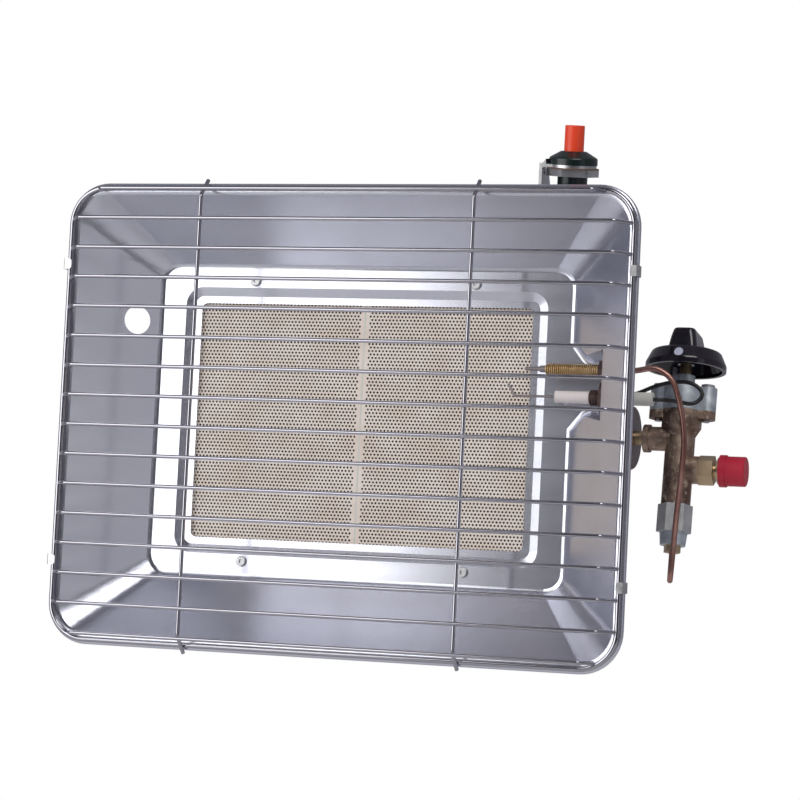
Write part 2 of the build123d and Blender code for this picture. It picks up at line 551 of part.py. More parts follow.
def thermocouple_nuts():
    """One nut on each side of the pocket's end wall."""
    corner = SENSOR_NUT_AF / sqrt(3)
    nut = Rot(0, 0, 30) * hexagon(corner, 0, SENSOR_NUT_T)
    nut -= cylinder(SENSOR_SLEEVE_R, 0, SENSOR_NUT_T)
    starts = (POCKET_WALL_X - SENSOR_NUT_T, POCKET_WALL_X + SHEET)
    return [along_x(nut, x, PROBE_DEPTH, SENSOR_Z).solid() for x in starts]


def electrode_ceramic():
    """Insulator that is seated in its plate's ribbed collar, with a thinner tail behind."""
    seat = POCKET_WALL_X - PLATE_T
    tail = POCKET_WALL_X + CERAMIC_TAIL
    axis_y, axis_z = PROBE_DEPTH, ELECTRODE_Z
    body = bar((CERAMIC_END, axis_y, axis_z), (seat, axis_y, axis_z), CERAMIC_R)
    body += bar((seat, axis_y, axis_z), (tail, axis_y, axis_z), CERAMIC_TAIL_R)
    return body - bar((CERAMIC_END, axis_y, axis_z), (tail, axis_y, axis_z), ELECTRODE_WIRE_R)


def electrode_wire():
    tail = POCKET_WALL_X + CERAMIC_TAIL
    straight = bar((ELECTRODE_KNEE_X, PROBE_DEPTH, ELECTRODE_Z), (tail, PROBE_DEPTH, ELECTRODE_Z),
                   ELECTRODE_WIRE_R)
    knee = Pos(ELECTRODE_KNEE_X, PROBE_DEPTH, ELECTRODE_Z) * Sphere(ELECTRODE_WIRE_R)
    hook = bar((ELECTRODE_KNEE_X, PROBE_DEPTH, ELECTRODE_Z),
               (ELECTRODE_TIP_X, PROBE_DEPTH, ELECTRODE_Z + ELECTRODE_TIP_RISE), ELECTRODE_WIRE_R)
    return straight + knee + hook


def electrode_rivet_heights():
    return (ELECTRODE_Z - RIVET_PITCH / 2, ELECTRODE_Z + RIVET_PITCH / 2)


def electrode_plate():
    """Oval plate on the pocket's end wall, with a ribbed collar round the insulator."""
    plate = extrude(SlotOverall(PLATE_H, PLATE_W), PLATE_T)
    plate = along_x(plate, POCKET_WALL_X - PLATE_T, PROBE_DEPTH, ELECTRODE_Z)
    plate -= bar((POCKET_WALL_X - PLATE_T, PROBE_DEPTH, ELECTRODE_Z),
                 (POCKET_WALL_X, PROBE_DEPTH, ELECTRODE_Z), CERAMIC_TAIL_R)
    pitch = FERRULE_L / FERRULE_RIBS
    profile = [(CERAMIC_R, 0)]
    for rib in range(FERRULE_RIBS):
        low = rib * pitch
        profile += [(FERRULE_R - FERRULE_GROOVE, low), (FERRULE_R, low + pitch / 3),
                    (FERRULE_R, low + 2 * pitch / 3)]
    profile += [(FERRULE_R - FERRULE_GROOVE, FERRULE_L), (CERAMIC_R, FERRULE_L)]
    plate += along_x(turned(profile), POCKET_WALL_X - PLATE_T - FERRULE_L, PROBE_DEPTH, ELECTRODE_Z)
    for z in electrode_rivet_heights():
        plate -= bar((POCKET_WALL_X - PLATE_T, PROBE_DEPTH, z), (POCKET_WALL_X, PROBE_DEPTH, z), RIVET_R)
    return plate


def electrode_rivets():
    front, back = POCKET_WALL_X - PLATE_T, POCKET_WALL_X + SHEET
    rivets = []
    for z in electrode_rivet_heights():
        rivet = bar((front, PROBE_DEPTH, z), (back, PROBE_DEPTH, z), RIVET_R)
        rivet += bar((front - RIVET_HEAD, PROBE_DEPTH, z), (front, PROBE_DEPTH, z), RIVET_HEAD_R)
        rivet += bar((back, PROBE_DEPTH, z), (back + RIVET_HEAD, PROBE_DEPTH, z), RIVET_HEAD_R)
        rivets.append(rivet.solid())
    return rivets


def electrode_boot():
    """Insulating boot over the tail, with the lead's end in its far face."""
    tail = POCKET_WALL_X + CERAMIC_TAIL
    boot = bar((BOOT_START, PROBE_DEPTH, ELECTRODE_Z), (BOOT_END, PROBE_DEPTH, ELECTRODE_Z), BOOT_R)
    bore = bar((BOOT_START, PROBE_DEPTH, ELECTRODE_Z), (tail, PROBE_DEPTH, ELECTRODE_Z), CERAMIC_TAIL_R)
    return boot - bore


def capillary():
    """Copper line: over and down in front of the valve, then round and up into the magnet unit."""
    start_x = POCKET_WALL_X + SENSOR_TAIL - SENSOR_SLEEVE_R
    end_z = MAGNET_BOTTOM - LINE_NUT_T / 2
    under, end = VALVE * Pos(0, 0, end_z - LINE_LOOP), VALVE * Pos(0, 0, end_z)
    route = [
        (start_x, PROBE_DEPTH, SENSOR_Z), (144.5, PROBE_DEPTH, SENSOR_Z), (154.5, 24.2, 31.9),
        (163.3, 24.7, 26.4), (167.9, 25.3, 12.4), (170.0, 26.2, -2.5), (168.6, 28.9, -19.0),
        (165.9, 34.4, -36.0), (164.0, 38.9, -52.0), (162.3, 41.3, -71.4),
        tuple(under.position), tuple(end.position),
    ]
    return bent_line(route, CAPILLARY_R)


def ignition_lead():
    """Free high-tension lead from the igniter's terminal, looping past the valve to the boot."""
    terminal_end = -PIEZO_BODY_L - TERMINAL_L
    start, below = PIEZO * Pos(0, 0, terminal_end), PIEZO * Pos(0, 0, terminal_end - LEAD_START)
    route = [
        tuple(start.position), tuple(below.position), (108.3, 39.5, 73.5), (111.3, 43.0, 63.0),
        (114.8, 45.0, 52.0), (117.5, 46.0, 41.5), (119.6, 46.0, 33.0), (122.5, 46.0, 26.0),
        (127.8, 45.8, 20.9), (134.6, 45.4, 18.6), (141.4, 45.0, 20.2), (150.3, 44.5, 24.3),
        (160.6, 44.0, 26.8), (170.2, 43.5, 25.9), (175.3, 43.0, 20.2), (170.6, 41.0, 15.1),
        (163.4, 36.0, 16.2), (BOOT_END + LEAD_END, PROBE_DEPTH, ELECTRODE_Z),
        (BOOT_END, PROBE_DEPTH, ELECTRODE_Z),
    ]
    print("lead bend radii", [round(radius, 1) for radius in bend_radii(route)])
    return bent_line(route, LEAD_R)


# ---------------------------------------------------------------- piezo igniter

def piezo_mouth():
    """Height of the flange's upper rim round the button."""
    return PIEZO_FLANGE_T / 2 + PIEZO_DOME


def piezo_body():
    """Threaded body with a domed flange and a stepped bore for the button."""
    flange_top = PIEZO_FLANGE_T / 2
    shape = turned([
        (0, -PIEZO_BODY_L), (PIEZO_BODY_R, -PIEZO_BODY_L), (PIEZO_BODY_R, -flange_top),
        (PIEZO_FLANGE_R, -flange_top), (PIEZO_FLANGE_R, flange_top),
        (PIEZO_MOUTH_R, piezo_mouth()), (0, piezo_mouth()),
    ])
    rims = shape.edges().filter_by(GeomType.CIRCLE).sort_by(SortBy.RADIUS)[-2:]
    shape = fillet(rims.sort_by(Axis.Z)[-1], PIEZO_EDGE_ROUND)
    bore_floor = -PIEZO_BODY_L + PIEZO_FLOOR_T
    shape -= cylinder(BUTTON_R + BUTTON_CLEARANCE, bore_floor, piezo_mouth())
    shape -= cylinder(PIEZO_BORE_R, bore_floor, flange_top - PIEZO_LEDGE_T)
    return PIEZO * shape


def piezo_button():
    """Red button with a collar that keeps it in the body."""
    collar_top = PIEZO_FLANGE_T / 2 - PIEZO_LEDGE_T
    top = piezo_mouth() + BUTTON_UP
    stem_low = collar_top - BUTTON_STEM_L
    shape = turned([
        (0, stem_low), (BUTTON_R, stem_low), (BUTTON_R, collar_top - BUTTON_COLLAR_T),
        (BUTTON_COLLAR_R, collar_top - BUTTON_COLLAR_T), (BUTTON_COLLAR_R, collar_top),
        (BUTTON_R, collar_top), (BUTTON_R, top), (0, top),
    ])
    return PIEZO * fillet(shape.faces().sort_by(Axis.Z)[-1].edges(), BUTTON_ROUND)


def piezo_spring():
    low = -PIEZO_BODY_L + PIEZO_FLOOR_T + SPRING_WIRE_R
    high = PIEZO_FLANGE_T / 2 - PIEZO_LEDGE_T - BUTTON_STEM_L - SPRING_WIRE_R - SPRING_PLAY
    return PIEZO * coil(PIEZO_BORE_R - 3 * SPRING_WIRE_R, SPRING_WIRE_R, low, high, SPRING_TURNS)


def piezo_plate_low():
    return -PIEZO_FLANGE_T / 2 - PIEZO_PLATE_T


def arm_top():
    """Outer upper edge of the bracket's arm, below its crest."""
    return (PIEZO * Pos(-PIEZO_ARM_X, 0, -PIEZO_FLANGE_T / 2 - ARM_DROP)).position


def piezo_bracket():
    """Strip that stands on the burner box: its top rises to a crest beside the igniter's flange."""
    plate_top, plate_low = -PIEZO_FLANGE_T / 2, piezo_plate_low()
    reach, half = PIEZO_FLANGE_R + ARM_GAP, PIEZO_ARM_W / 2
    outline = Circle(PIEZO_PLATE_R) + Pos(-reach / 2, 0) * Rectangle(reach, PIEZO_ARM_W)
    outline -= Circle(PIEZO_BODY_R)
    plate = PIEZO * extrude(Plane.XY.offset(plate_low) * outline, PIEZO_PLATE_T)
    arm_low = plate_top - ARM_DROP - ARM_LAP
    crest = make_face(Polyline(
        (-reach, plate_top + ARM_CREST), (-PIEZO_ARM_X, plate_top - ARM_DROP), (-PIEZO_ARM_X, arm_low),
        (-PIEZO_ARM_X + PIEZO_PLATE_T, arm_low), (-PIEZO_WASHER_R - ARM_GAP, plate_low),
        (-reach, plate_low), close=True,
    ))
    plate += PIEZO * extrude(Plane.XZ * crest, half, both=True)
    foot_top = BOX_H / 2 + SHEET + PIEZO_PLATE_T
    top = arm_top()
    lean = half * tan(radians(PIEZO_FORWARD))
    foot_front, foot_back = FLOOR_BACK + FOOT_GAP, FLOOR_BACK + FOOT_GAP + PIEZO_ARM_W
    arm = make_face(Polyline(
        (top.Y - half, top.Z + lean), (top.Y + half, top.Z - lean),
        (foot_back, foot_top + ARM_KNEE_BACK), (foot_back, foot_top), (foot_front, foot_top),
        (foot_front, foot_top + ARM_KNEE_FRONT), (top.Y - half, top.Z - ARM_KNEE_TOP), close=True,
    ))
    side = Plane(origin=(top.X, 0, 0), x_dir=(0, 1, 0), z_dir=(1, 0, 0))
    strip = extrude(side * arm, PIEZO_PLATE_T)
    dimple_y, dimple_z = top.Y - DIMPLE_FORWARD, top.Z - DIMPLE_DROP
    inner_x = top.X + PIEZO_PLATE_T
    strip -= bar((inner_x - DIMPLE_DEPTH, dimple_y, dimple_z), (inner_x, dimple_y, dimple_z), DIMPLE_R)
    foot_x = top.X + PIEZO_PLATE_T - PIEZO_FOOT_L / 2
    foot = Pos(foot_x, foot_front + half, foot_top - PIEZO_PLATE_T / 2)
    strip += foot * Box(PIEZO_FOOT_L, PIEZO_ARM_W, PIEZO_PLATE_T)
    for x, y in foot_screw_places():
        strip -= bar((x, y, foot_top - 2 * PIEZO_PLATE_T), (x, y, foot_top + PIEZO_PLATE_T), BURNER_SCREW_R)
    return plate + strip


def foot_screw_places():
    """Two screws through the bracket's foot into the top of the burner box."""
    y = FLOOR_BACK + FOOT_GAP + PIEZO_ARM_W / 2
    inset = 4 * BURNER_SCREW_R
    return [(arm_top().X - PIEZO_FOOT_L + inset, y), (arm_top().X - inset, y)]


def piezo_bracket_screws():
    low = BOX_H / 2
    top = BOX_H / 2 + SHEET + PIEZO_PLATE_T
    screws = []
    for x, y in foot_screw_places():
        screw = bar((x, y, low), (x, y, top), BURNER_SCREW_R)
        head = bar((x, y, top), (x, y, top + 2 * BURNER_SCREW_HEAD), BURNER_SCREW_HEAD_R)
        recess = bar((x, y, top + BURNER_SCREW_HEAD), (x, y, top + 2 * BURNER_SCREW_HEAD), BURNER_SCREW_R)
        screws.append((screw + head - recess).solid())
    return screws


def piezo_washer():
    top = piezo_plate_low()
    ring = cylinder(PIEZO_WASHER_R, top - PIEZO_WASHER_T, top)
    return PIEZO * (ring - cylinder(PIEZO_BODY_R, top - PIEZO_WASHER_T, top))


def piezo_nut():
    top = piezo_plate_low() - PIEZO_WASHER_T
    nut = hexagon(PIEZO_NUT_CORNER_R, top - PIEZO_NUT_T, top)
    nut -= cylinder(PIEZO_BODY_R, top - PIEZO_NUT_T, top)
    return PIEZO * Rot(0, 0, PIEZO_NUT_TURN) * nut


def piezo_terminal():
    """Pin at the igniter's lower end, where the lead starts."""
    return PIEZO * cylinder(TERMINAL_R, -PIEZO_BODY_L - TERMINAL_L, -PIEZO_BODY_L)


# ---------------------------------------------------------------- valve

def ears(radius, thickness, bottom):
    """Two-eared flange outline round the valve axis."""
    outline = Circle(radius) + SlotOverall(2 * (EAR_X + EAR_R), 2 * EAR_R)
    return extrude(Plane.XY.offset(bottom) * outline, thickness)


def valve_body():
    """Brass casting with a plug bore, outlet, inlet and magnet chamber."""
    shape = turned([
        (0, BODY_BOTTOM), (BODY_R, BODY_BOTTOM), (BODY_R, BELL_LOW), (BELL_R, BELL_HIGH),
        (BELL_R, BODY_TOP), (0, BODY_TOP),
    ])
    shape += ears(BELL_R, EAR_T, BODY_TOP - EAR_T)
    shape += bar((0, 0, 0), (-OUTLET_END, 0, 0), OUTLET_R)
    shape += bar((-OUTLET_END, 0, 0), (-OUTLET_END + OUTLET_COLLAR, 0, 0), OUTLET_COLLAR_R)
    shape += bar((0, 0, INLET_Z), (INLET_END, 0, INLET_Z), INLET_R)
    shape -= cylinder(PLUG_R, PLUG_BOTTOM, BODY_TOP)
    shape -= bar((-OUTLET_END, 0, 0), (-OUTLET_BORE_END, 0, 0), INJECTOR_R)
    shape -= bar((-OUTLET_BORE_END, 0, 0), (0, 0, 0), GAS_WAY_R)
    shape -= bar((INLET_END - FITTING_SPIGOT_L, 0, INLET_Z), (INLET_END, 0, INLET_Z), FITTING_SPIGOT_R)
    shape -= bar((0, 0, INLET_Z), (INLET_END, 0, INLET_Z), INLET_BORE_R)
    shape -= cylinder(MAGNET_CORE_R, BODY_BOTTOM, MAGNET_CORE_TOP)
    shape -= cylinder(GAS_WAY_R, MAGNET_CORE_TOP, PLUG_BOTTOM)
    for x in (-EAR_X, EAR_X):
        shape -= Pos(x, 0, 0) * cylinder(CAP_SCREW_R, BODY_TOP - EAR_T, BODY_TOP)
    return VALVE * shape


def valve_cap():
    """Zinc cap over the plug, with the neck that guides the spindle and a stop for the knob."""
    top = BODY_TOP + CAP_T
    shape = ears(CAP_R, CAP_T, BODY_TOP) + cylinder(NECK_R, top, NECK_TOP)
    stop = Box(STOP_OUT - STOP_IN, STOP_W, STOP_TOP - top)
    shape += Pos(-(STOP_OUT + STOP_IN) / 2, 0, (STOP_TOP + top) / 2) * stop
    shape -= cylinder(CHAMBER_R, BODY_TOP, CHAMBER_ROOF)
    shape -= cylinder(SPINDLE_R + PLUG_CLEARANCE, CHAMBER_ROOF, NECK_TOP)
    for x in (-EAR_X, EAR_X):
        shape -= Pos(x, 0, 0) * cylinder(CAP_SCREW_R + HOLE_CLEARANCE, BODY_TOP, top)
    return VALVE * shape


def valve_cap_screws():
    top = BODY_TOP + CAP_T
    low = BODY_TOP - EAR_T - CAP_SCREW_PAST
    screws = []
    for x in (-EAR_X, EAR_X):
        screw = cylinder(CAP_SCREW_R, low, top) + cylinder(CAP_SCREW_HEAD_R, top, top + CAP_SCREW_HEAD)
        slot = Pos(0, 0, top + CAP_SCREW_HEAD) * Box(2 * CAP_SCREW_HEAD_R, CAP_SCREW_SLOT, CAP_SCREW_HEAD)
        screws.append((VALVE * Pos(x, 0, 0) * (screw - slot)).solid())
    return screws


def valve_plug():
    """Turning plug with a spindle bore and a side port, closed at rest."""
    shape = cylinder(PLUG_R - PLUG_CLEARANCE, PLUG_BOTTOM + PLUG_CLEARANCE, PLUG_TOP)
    shape -= cylinder(PLUG_BORE_R, PLUG_BOTTOM, PLUG_TOP)
    return VALVE * (shape - bar((0, 0, 0), (0, PLUG_R, 0), GAS_WAY_R))


def spindle():
    """Stepped spindle: its collar rests under the cap's roof and its lower end rides in the plug."""
    low_r = PLUG_BORE_R - PLUG_CLEARANCE
    collar_low = CHAMBER_ROOF - SPINDLE_COLLAR
    return VALVE * turned([
        (0, SPINDLE_END), (low_r, SPINDLE_END), (low_r, collar_low), (SPINDLE_COLLAR_R, collar_low),
        (SPINDLE_COLLAR_R, CHAMBER_ROOF), (SPINDLE_R, CHAMBER_ROOF), (SPINDLE_R, SPINDLE_TOP),
        (0, SPINDLE_TOP),
    ])


def spindle_spring():
    low = PLUG_TOP + SPRING_WIRE_R
    high = CHAMBER_ROOF - SPINDLE_COLLAR - SPRING_WIRE_R - SPRING_PLAY
    middle = (PLUG_BORE_R + SPINDLE_COLLAR_R) / 2
    return VALVE * coil(middle, SPRING_WIRE_R, low, high, SPRING_TURNS)


def knob():
    """Cup-shaped knob with a tapered grip, hollow below, on a hub."""
    rim_top = KNOB_BOTTOM + KNOB_RIM
    shape = turned([
        (0, KNOB_BOTTOM), (KNOB_R, KNOB_BOTTOM), (KNOB_R, rim_top), (KNOB_SHOULDER_R, KNOB_SHOULDER),
        (KNOB_CROWN_R, KNOB_TOP), (0, KNOB_TOP),
    ])
    rings = shape.edges().filter_by(GeomType.CIRCLE).sort_by(Axis.Z)
    shape = fillet(rings[1:3], KNOB_ROUND)
    middle = (GRIP_LOW + GRIP_TOP) / 2
    top_length = GRIP_L - 2 * GRIP_DRAFT
    grip = loft([
        Plane.XY.offset(GRIP_LOW) * RectangleRounded(GRIP_LOW_W, GRIP_L, GRIP_CORNER),
        Plane.XY.offset(middle) * RectangleRounded(GRIP_MID_W, GRIP_L - GRIP_DRAFT / 2, GRIP_CORNER),
        Plane.XY.offset(GRIP_TOP) * RectangleRounded(GRIP_TOP_W, top_length, GRIP_CORNER),
    ])
    shape += fillet(grip.faces().sort_by(Axis.Z)[-1].edges(), GRIP_ROUND)
    shape -= turned([
        (0, KNOB_BOTTOM), (KNOB_R - KNOB_WALL, KNOB_BOTTOM), (KNOB_R - KNOB_WALL, rim_top - KNOB_WALL / 2),
        (KNOB_SHOULDER_R - KNOB_WALL, KNOB_ROOF), (0, KNOB_ROOF),
    ])
    shape += cylinder(HUB_R, HUB_BOTTOM, GRIP_LOW)
    return VALVE * (shape - cylinder(SPINDLE_R, HUB_BOTTOM, SPINDLE_TOP))


def magnet_nut():
    nut = hexagon(MAGNET_NUT_CORNER_R, MAGNET_NUT_BOTTOM, BODY_BOTTOM)
    nut -= cylinder(MAGNET_CORE_R, MAGNET_NUT_BOTTOM, BODY_BOTTOM)
    return VALVE * Rot(0, 0, MAGNET_NUT_TURN) * nut


def magnet_unit():
    """Magnet with its core up in the valve body and the line's socket below."""
    core_top = MAGNET_CORE_TOP - MAGNET_CORE_GAP
    shape = turned([
        (0, MAGNET_BOTTOM), (MAGNET_R - MAGNET_TAPER, MAGNET_BOTTOM), (MAGNET_R, MAGNET_NUT_BOTTOM),
        (MAGNET_CORE_R, MAGNET_NUT_BOTTOM), (MAGNET_CORE_R, core_top), (0, core_top),
    ])
    return VALVE * (shape - cylinder(MAGNET_BORE_R, MAGNET_BOTTOM, MAGNET_BOTTOM + MAGNET_BORE_L))


def capillary_nut():
    low = MAGNET_BOTTOM - LINE_NUT_T
    shape = hexagon(LINE_NUT_CORNER_R, low, MAGNET_BOTTOM)
    shape += cylinder(MAGNET_BORE_R, MAGNET_BOTTOM, MAGNET_BOTTOM + MAGNET_BORE_L - 1)
    return VALVE * (shape - cylinder(CAPILLARY_R, low, MAGNET_BOTTOM - LINE_NUT_T / 2))


def inlet_fitting():
    """Screwed inlet with a hexagon, a neck and the outer left-hand thread for the gas hose."""
    hex_end = INLET_END + FITTING_HEX_L
    neck_end = hex_end + FITTING_NECK_L
    end = neck_end + INLET_THREAD_L
    shape = bar((INLET_END - FITTING_SPIGOT_L, 0, 0), (INLET_END, 0, 0), FITTING_SPIGOT_R)
    shape += along_x(hexagon(FITTING_CORNER_R, 0, FITTING_HEX_L), INLET_END, 0, 0)
    shape += bar((hex_end, 0, 0), (neck_end, 0, 0), FITTING_NECK_R)
    shape += bar((neck_end, 0, 0), (end, 0, 0), INLET_THREAD_R)
    shape -= bar((INLET_END - FITTING_SPIGOT_L, 0, 0), (end, 0, 0), INLET_BORE_R)
    return VALVE * Pos(0, 0, INLET_Z) * shape


def inlet_cap():
    """Push-on transport cap over the inlet thread."""
    collar_end = CAP_START + CAP_COLLAR_L
    shape = bar((CAP_START, 0, 0), (CAP_END, 0, 0), CAP_SHELL_R)
    shape += bar((CAP_START, 0, 0), (collar_end, 0, 0), CAP_COLLAR_R)
    shape = chamfer(shape.faces().sort_by(Axis.X)[-1].edges(), CAP_EDGE)
    hollow = bar((CAP_START, 0, 0), (CAP_END - CAP_FLOOR, 0, 0), INLET_THREAD_R + CAP_FIT)
    return VALVE * Pos(0, 0, INLET_Z) * (shape - hollow)


# ---------------------------------------------------------------- air cup and mixing tube

def cup_end():
    """X of the cup's outer face, a little short of the valve's outlet collar."""
    return VALVE_X - OUTLET_END - CUP_GAP


def air_cup():
    """Cup with four air windows between the mixing tube and the injector."""
    end = cup_end()
    start = end - CUP_L
    shape = cylinder(CUP_R, 0, CUP_L)
    shape = fillet(shape.faces().sort_by(Axis.Z)[-1].edges(), 2 * CUP_SHEET)
    shape -= cylinder(CUP_R - CUP_SHEET, CUP_SHEET, CUP_L - CUP_SHEET)
    shape -= cylinder(TUBE_R, 0, CUP_SHEET)
    shape -= cylinder(INJECTOR_R + HOLE_CLEARANCE, CUP_L - CUP_SHEET, CUP_L)
    window = Box(2 * CUP_WINDOW_W, CUP_WINDOW_W, CUP_WINDOW_L)
    for index in range(4):
        shape -= Rot(0, 0, 45 + 90 * index) * Pos(CUP_R, 0, CUP_L / 2 - CUP_SHEET) * window
    return along_x(shape, start, VALVE_DEPTH, VALVE_Z)


def mixing_tube():
    end = cup_end() - CUP_L + CUP_SHEET
    tube = bar((TUBE_END, VALVE_DEPTH, VALVE_Z), (end, VALVE_DEPTH, VALVE_Z), TUBE_R)
    return tube - bar((TUBE_END, VALVE_DEPTH, VALVE_Z), (end, VALVE_DEPTH, VALVE_Z), TUBE_R - TUBE_WALL)


def injector():
    """Jet that clamps the cup against the valve's outlet, with its nozzle inside the cup."""
    inner = cup_end() - CUP_SHEET
    shoulder = inner - INJECTOR_NUT_T
    nozzle = shoulder - INJECTOR_TIP_L
    seat = VALVE_X - OUTLET_BORE_END
    nose = cylinder(INJECTOR_R, inner, seat)
    nose += hexagon(INJECTOR_NUT_CORNER_R, shoulder, inner)
    nose += turned([
        (0, nozzle), (INJECTOR_TIP_R, nozzle), (INJECTOR_R, shoulder), (0, shoulder),
    ])
    nose -= cylinder(GAS_WAY_R, shoulder, seat)
    nose -= cylinder(JET_R, nozzle, shoulder)
    return along_x(nose, 0, VALVE_DEPTH, VALVE_Z)


# ---------------------------------------------------------------- back bracket and post holder

def bracket_rivet_places():
    return [(x, z) for x in (-BRACKET_RIVET_X, BRACKET_RIVET_X)
            for z in (-BRACKET_RIVET_Z, BRACKET_RIVET_Z)]


def bracket_faces():
    """Depths of the bracket plate's front and back faces."""
    return BOX_BACK + SHEET, BOX_BACK + SHEET + BRACKET_T


def back_bracket():
    """Plate on the burner box with two ears for the tilt bolt."""
    front, back = bracket_faces()
    shape = slab(RectangleRounded(BRACKET_W, BRACKET_H, 4), front, back)
    ear = Pos((PIVOT_DEPTH + back) / 2, PIVOT_Z) * Rectangle(PIVOT_DEPTH - back, 2 * EAR_PLATE_R)
    ear += Pos(PIVOT_DEPTH, PIVOT_Z) * Circle(EAR_PLATE_R)
    ear -= Pos(PIVOT_DEPTH, PIVOT_Z) * Circle(BOLT_R)
    inner = LUG_T / 2 + LUG_GAP
    for start in (-inner - EAR_PLATE_T, inner):
        side = Plane(origin=(start, 0, 0), x_dir=(0, 1, 0), z_dir=(1, 0, 0))
        shape += extrude(side * ear, EAR_PLATE_T)
    for x, z in bracket_rivet_places():
        shape -= bar((x, front, z), (x, back, z), BRACKET_RIVET_R)
    return shape


def bracket_rivets():
    front, back = BOX_BACK, bracket_faces()[1]
    rivets = []
    for x, z in bracket_rivet_places():
        rivet = bar((x, front, z), (x, back, z), BRACKET_RIVET_R)
        rivet += bar((x, front - BRACKET_RIVET_HEAD, z), (x, front, z), BRACKET_RIVET_HEAD_R)
        rivet += bar((x, back, z), (x, back + BRACKET_RIVET_HEAD, z), BRACKET_RIVET_HEAD_R)
        rivets.append(rivet.solid())
    return rivets


def post_socket():
    """Tube socket for a post, with the tilt lug on a neck above and a boss for its clamp screw."""
    shape = cylinder(SOCKET_R, SOCKET_MOUTH, SOCKET_TOP + (NECK_BOTTOM - SOCKET_TOP))
    shape += Pos(0, 0, (NECK_BOTTOM + PIVOT_Z) / 2) * Box(LUG_T, 1.6 * LUG_R, PIVOT_Z - NECK_BOTTOM)
    shape += bar((-LUG_T / 2, 0, PIVOT_Z), (LUG_T / 2, 0, PIVOT_Z), LUG_R)
    shape += bar((0, 0, CLAMP_Z), (0, CLAMP_BOSS_OUT, CLAMP_Z), CLAMP_BOSS_R)
    shape -= cylinder(SOCKET_BORE_R, SOCKET_MOUTH, SOCKET_TOP)
    shape -= bar((-LUG_T, 0, PIVOT_Z), (LUG_T, 0, PIVOT_Z), BOLT_R + BOLT_CLEARANCE)
    shape -= bar((0, 0, CLAMP_Z), (0, CLAMP_BOSS_OUT, CLAMP_Z), CLAMP_R + BOLT_CLEARANCE)
    return Pos(0, PIVOT_DEPTH, 0) * shape


def tilt_bolt():
    ear_face = LUG_T / 2 + LUG_GAP + EAR_PLATE_T
    shape = cylinder(BOLT_R, -ear_face, -ear_face + BOLT_LENGTH)
    shape += hexagon(BOLT_HEAD_CORNER_R, -ear_face - BOLT_HEAD, -ear_face)
    return along_x(shape, 0, PIVOT_DEPTH, PIVOT_Z)


def wing_nut():
    ear_face = LUG_T / 2 + LUG_GAP + EAR_PLATE_T + LUG_GAP
    root = WING_HUB_R - WING_ROOT
    shape = turned([
        (0, 0), (WING_HUB_R, 0), (WING_HUB_R - WING_LIFT, WING_HUB_T), (0, WING_HUB_T),
    ])
    wing = make_face(Polyline(
        (root, WING_LIFT), (WING_SPAN, WING_RISE - WING_TIP), (WING_SPAN, WING_RISE),
        (WING_SPAN - WING_TIP, WING_RISE), (root, WING_HUB_T - WING_LIFT), close=True,
    ))
    wing = fillet(wing.vertices().filter_by(lambda corner: corner.X > WING_HUB_R), WING_ROUND)
    wing = extrude(Plane.XZ * wing, WING_T / 2, both=True)
    shape += wing + Rot(0, 0, 180) * wing
    shape -= cylinder(BOLT_R + BOLT_CLEARANCE, 0, WING_RISE)
    return along_x(shape, ear_face, PIVOT_DEPTH, PIVOT_Z)


def clamp_screw():
    """Thumb screw in the socket's boss; its tip stops level with the bore."""
    head_start = CLAMP_BOSS_OUT + CLAMP_HEAD_GAP
    outline = Circle(CLAMP_HEAD_R)
    for index in range(CLAMP_LOBES):
        outline -= Rot(0, 0, 360 / CLAMP_LOBES * index) * Pos(CLAMP_HEAD_R + 1, 0) * Circle(3)
    head = extrude(outline, CLAMP_HEAD_T)
    shape = Pos(0, 0, head_start) * head + cylinder(CLAMP_R, SOCKET_BORE_R + LUG_GAP, head_start)
    return Pos(0, PIVOT_DEPTH, CLAMP_Z) * Rot(-90, 0, 0) * shape


# ---------------------------------------------------------------- nodes

NODES = {
    "reflector": reflector,
    "burner_box": burner_box,
    "burner_tile_left": lambda: tile(-1),
    "burner_tile_right": lambda: tile(1),
    "tile_gasket": tile_gasket,
    "tile_support": tile_support,
    "burner_screws": burner_screws,
    "guard_frame": guard_frame,
    "guard_rods": guard_rods,
    "guard_uprights": guard_uprights,
    "guard_clips": guard_clips,
    "thermocouple_sleeve": thermocouple_sleeve,
    "thermocouple_tip": thermocouple_tip,
    "thermocouple_nuts": thermocouple_nuts,
    "capillary": capillary,
    "capillary_nut": capillary_nut,
    "electrode_ceramic": electrode_ceramic,
    "electrode_wire": electrode_wire,
    "electrode_plate": electrode_plate,
    "electrode_rivets": electrode_rivets,
    "electrode_boot": electrode_boot,
    "ignition_lead": ignition_lead,
    "piezo_body": piezo_body,
    "piezo_button": piezo_button,
    "piezo_spring": piezo_spring,
    "piezo_bracket": piezo_bracket,
    "piezo_bracket_screws": piezo_bracket_screws,
    "piezo_washer": piezo_washer,
    "piezo_nut": piezo_nut,
    "piezo_terminal": piezo_terminal,
    "valve_body": valve_body,
    "valve_cap": valve_cap,
    "valve_cap_screws": valve_cap_screws,
    "valve_plug": valve_plug,
    "spindle": spindle,
    "spindle_spring": spindle_spring,
    "knob": knob,
    "magnet_nut": magnet_nut,
    "magnet_unit": magnet_unit,
    "inlet_fitting": inlet_fitting,
    "inlet_cap": inlet_cap,
    "air_cup": air_cup,
    "mixing_tube": mixing_tube,
    "injector": injector,
    "back_bracket": back_bracket,
    "bracket_rivets": bracket_rivets,
    "post_socket": post_socket,
    "tilt_bolt": tilt_bolt,
    "wing_nut": wing_nut,
    "clamp_screw": clamp_screw,
}

